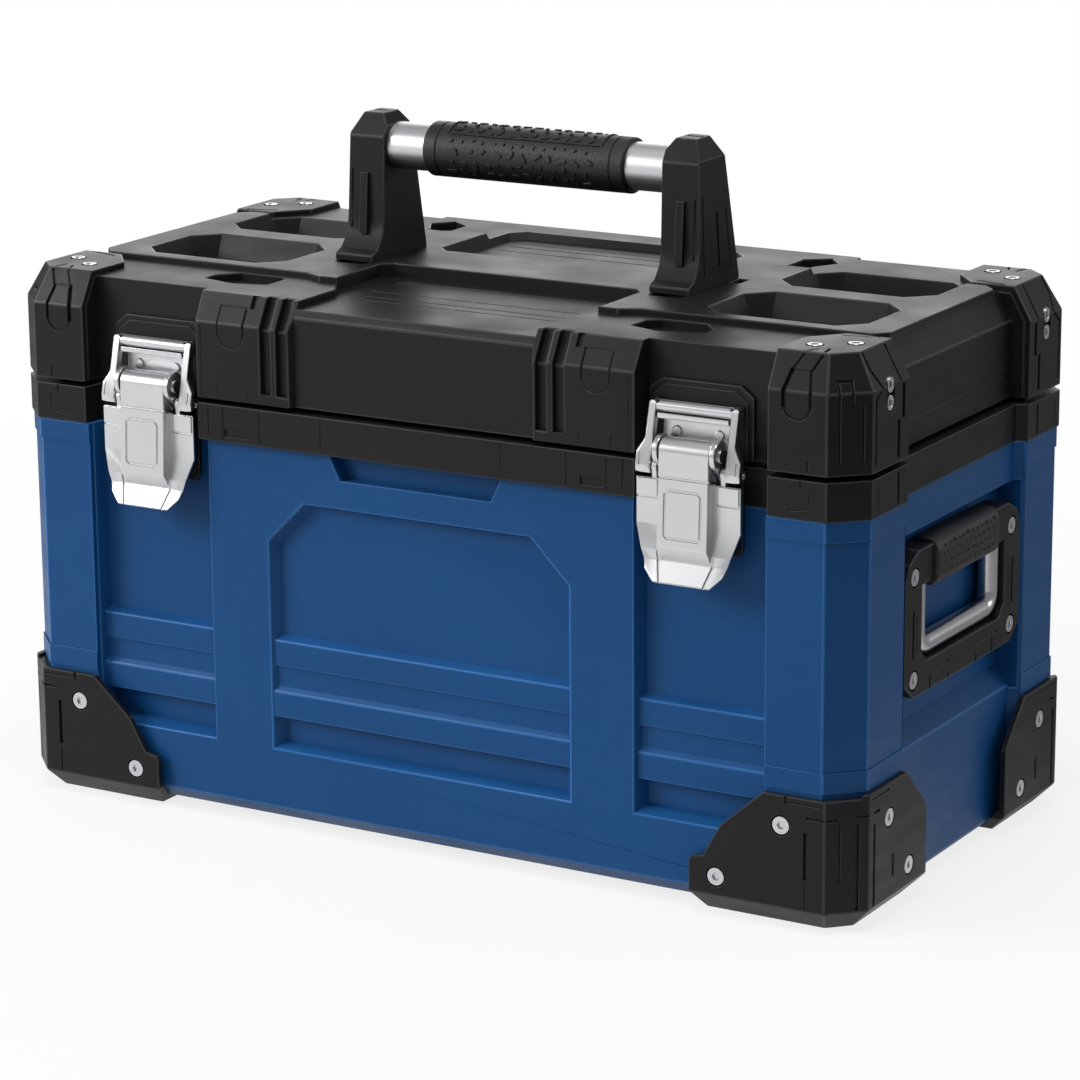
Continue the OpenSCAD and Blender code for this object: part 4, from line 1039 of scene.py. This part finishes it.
    def piece(self, name: str, form: Form, body: str, finish: Finish,
              nodes: Sequence[str] = (), width: float = 0.6 * MM, segments: int = 2,
              sharp: float = 18.0, pens: Sequence[Engraver] = ()) -> None:
        """Turns a form into a finished piece.

        Args:
            name: the piece's name.
            form: its mesh, which is freed.
            body: the body it rides on.
            finish: its material.
            nodes: the CAD nodes it stands for.
            width: the edge rounding; 0 leaves the edges as they are.
            segments: steps across a rounding.
            sharp: the smallest fold, in degrees, that is rounded.
            pens: the grooves to cut and the strips to add once the edges are round.
        """
        if width:
            self.weigh_edges(form, width, sharp)
            form = self.rounded(form, finish, width, segments)
        cuts = [pen.cuts.placed() for pen in pens if pen.cuts.form.faces]
        if cuts:
            form = self.carve(form, joined(cuts), finish)
        adds = [pen.adds.placed() for pen in pens if pen.adds.form.faces]
        if adds:
            strips = joined(adds)
            self.weigh_edges(strips, self.strip_edge, sharp)
            form = joined((form, self.rounded(strips, finish, self.strip_edge, 2)))
        bmesh.ops.dissolve_degenerate(form, edges=form.edges, dist=WELD)
        for face in form.faces:
            face.smooth = True
        for edge in form.edges:
            edge.smooth = len(edge.link_faces) == 2 and edge.calc_face_angle(0.0) < CREASE
        thing = self.coated(name, form, finish)
        thing.modifiers.new("normals", "WEIGHTED_NORMAL").keep_sharp = True
        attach(thing, body)
        if nodes:
            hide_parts(*nodes)
        LOG.info("%s: %d faces on %s", name, len(thing.data.polygons), body)


@dataclass(frozen=True)
class Lamp:
    """A square soft lamp: its place, what it looks at, its width and its power."""

    name: str
    place: tuple[float, float, float]
    aim: tuple[float, float, float]
    size: float
    power: float

    def hang(self) -> None:
        """Adds the lamp to the scene."""
        light = bpy.data.lights.new(self.name, "AREA")
        light.shape, light.size, light.energy = "SQUARE", self.size, self.power
        thing = stood(self.name, light)
        thing.location = self.place
        way = Vector(self.aim) - Vector(self.place)
        thing.rotation_euler = way.to_track_quat("-Z", "Y").to_euler()


@dataclass(frozen=True)
class Studio:
    """Camera, floor and lights of the photograph."""

    azimuth: float = 30.523
    elevation: float = 14.888
    roll: float = -0.449
    distance: float = 2.423455
    side: float = -0.000825
    rise: float = 0.150987
    lens: float = 132.738
    sensor: float = 36.0
    seen: float = 0.99
    lit: float = 0.28
    lamps: tuple[Lamp, ...] = (
        Lamp("key_lamp", (-2.6, -1.9, 1.6), (0, 0, 0.15), 1.6, 66),
        Lamp("front_lamp", (-1.2, -2.3, 1.7), (0, 0, 0.2), 1.6, 3.2),
        Lamp("back_lamp", (-1.5, 2.4, 1.2), (0, 0, 0.3), 2.0, 22),
        Lamp("side_lamp", (2.2, 1.7, 1.0), (0.1, 0, 0.2), 1.2, 10),
        Lamp("top_lamp", (0.2, -0.5, 2.6), (0, 0, 0.2), 1.0, 26))
    floor_half: float = 12.0

    def camera(self) -> None:
        """Stands the camera where the photograph was taken from."""
        turn, tilt, roll = (math.radians(a) for a in (self.azimuth, self.elevation, self.roll))
        view = Vector((-math.sin(turn) * math.cos(tilt), math.cos(turn) * math.cos(tilt),
                       -math.sin(tilt)))
        right = view.cross(Vector((0, 0, 1))).normalized()
        up = right.cross(view)
        right, up = (math.cos(roll) * right + math.sin(roll) * up,
                     -math.sin(roll) * right + math.cos(roll) * up)
        place = right * self.side + up * self.rise - view * self.distance
        lens = bpy.data.cameras.new("camera")
        lens.lens, lens.sensor_width = self.lens, self.sensor
        lens.clip_start, lens.clip_end = 0.05, 50.0
        eye = stood("camera", lens)
        eye.matrix_world = Matrix.Translation(place) @ Matrix(
            (right, up, -view)).transposed().to_4x4()
        bpy.context.scene.camera = eye

    def lights(self) -> None:
        """Hangs the lamps and sets the surroundings, seen by the camera as nearly white."""
        for lamp in self.lamps:
            lamp.hang()
        world = bpy.data.worlds.new("surroundings")
        bpy.context.scene.world = world
        world.use_nodes = True
        nodes, links = world.node_tree.nodes, world.node_tree.links
        nodes.clear()
        out = nodes.new("ShaderNodeOutputWorld")
        seen, lit = nodes.new("ShaderNodeBackground"), nodes.new("ShaderNodeBackground")
        seen.inputs["Color"].default_value = (self.seen, self.seen, self.seen, 1)
        lit.inputs["Color"].default_value = (1, 1, 1, 1)
        lit.inputs["Strength"].default_value = self.lit
        path, mix = nodes.new("ShaderNodeLightPath"), nodes.new("ShaderNodeMixShader")
        links.new(path.outputs["Is Camera Ray"], mix.inputs[0])
        links.new(lit.outputs[0], mix.inputs[1])
        links.new(seen.outputs[0], mix.inputs[2])
        links.new(mix.outputs[0], out.inputs["Surface"])

    def floor(self) -> None:
        """Lays a pale floor under the case.

        The camera sees it white, and shaded near the case. Metal sees it white at the front
        left. To all other light it is dim.
        """
        form = bmesh.new()
        bmesh.ops.create_grid(form, x_segments=1, y_segments=1, size=self.floor_half)
        thing = stood("floor", meshed("floor", form))
        tree = Tree("floor_paper")
        shade = tree.ramp(tree.noise(3, 2), 0.3, 0.7, 0.93, 0.95)
        base = tree.add("CombineColor", Red=shade, Green=shade, Blue=shade).outputs["Color"]
        glow = tree.add("Emission", Color=(1, 1, 1, 1), Strength=1.0)
        paper = tree.add("BsdfDiffuse", Color=base)
        dim = tree.add("BsdfDiffuse", Color=(0.35, 0.35, 0.35, 1))
        away = tree.add("VectorMath", {"operation": "LENGTH"}, _0=tree.place).outputs["Value"]
        near = tree.ramp(away, 0.4, 1.3, 0.2, 0.0)
        seen = tree.add("MixShader", _0=near, _1=glow.outputs[0], _2=paper.outputs[0])
        path = tree.add("LightPath")
        axes = tree.add("SeparateXYZ", Vector=tree.place)
        mirror = tree.add("Math", {"operation": "MULTIPLY"},
                          _0=tree.ramp(axes.outputs["Y"], -0.1, 0.35, 1.0, 0.0),
                          _1=tree.ramp(axes.outputs["X"], 0.3, 0.8, 1.0, 0.0)).outputs[0]
        glossy = tree.add("Math", {"operation": "MULTIPLY"}, _0=path.outputs["Is Glossy Ray"],
                          _1=mirror).outputs[0]
        share = tree.add("Math", {"operation": "MAXIMUM"}, _0=path.outputs["Is Camera Ray"],
                         _1=glossy).outputs[0]
        mixed = tree.add("MixShader", _0=share, _1=dim.outputs[0], _2=seen.outputs[0])
        thing.data.materials.append(tree.finish(mixed))

    def build(self) -> None:
        """Sets the whole studio up."""
        bpy.context.scene.view_settings.view_transform = "Standard"
        self.camera()
        self.lights()
        self.floor()


def main() -> None:
    """Builds the studio and every piece."""
    logging.basicConfig(level=logging.INFO, format="%(message)s")
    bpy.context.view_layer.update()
    Studio().build()
    shop = Workshop()
    for part in (Body(), CornerGuards(), EndHandles(), Latches(), Hinges(), Lid(), CornerCaps(),
                 TopHandle()):
        part.build(shop)


if __name__ == "__main__":
    main()
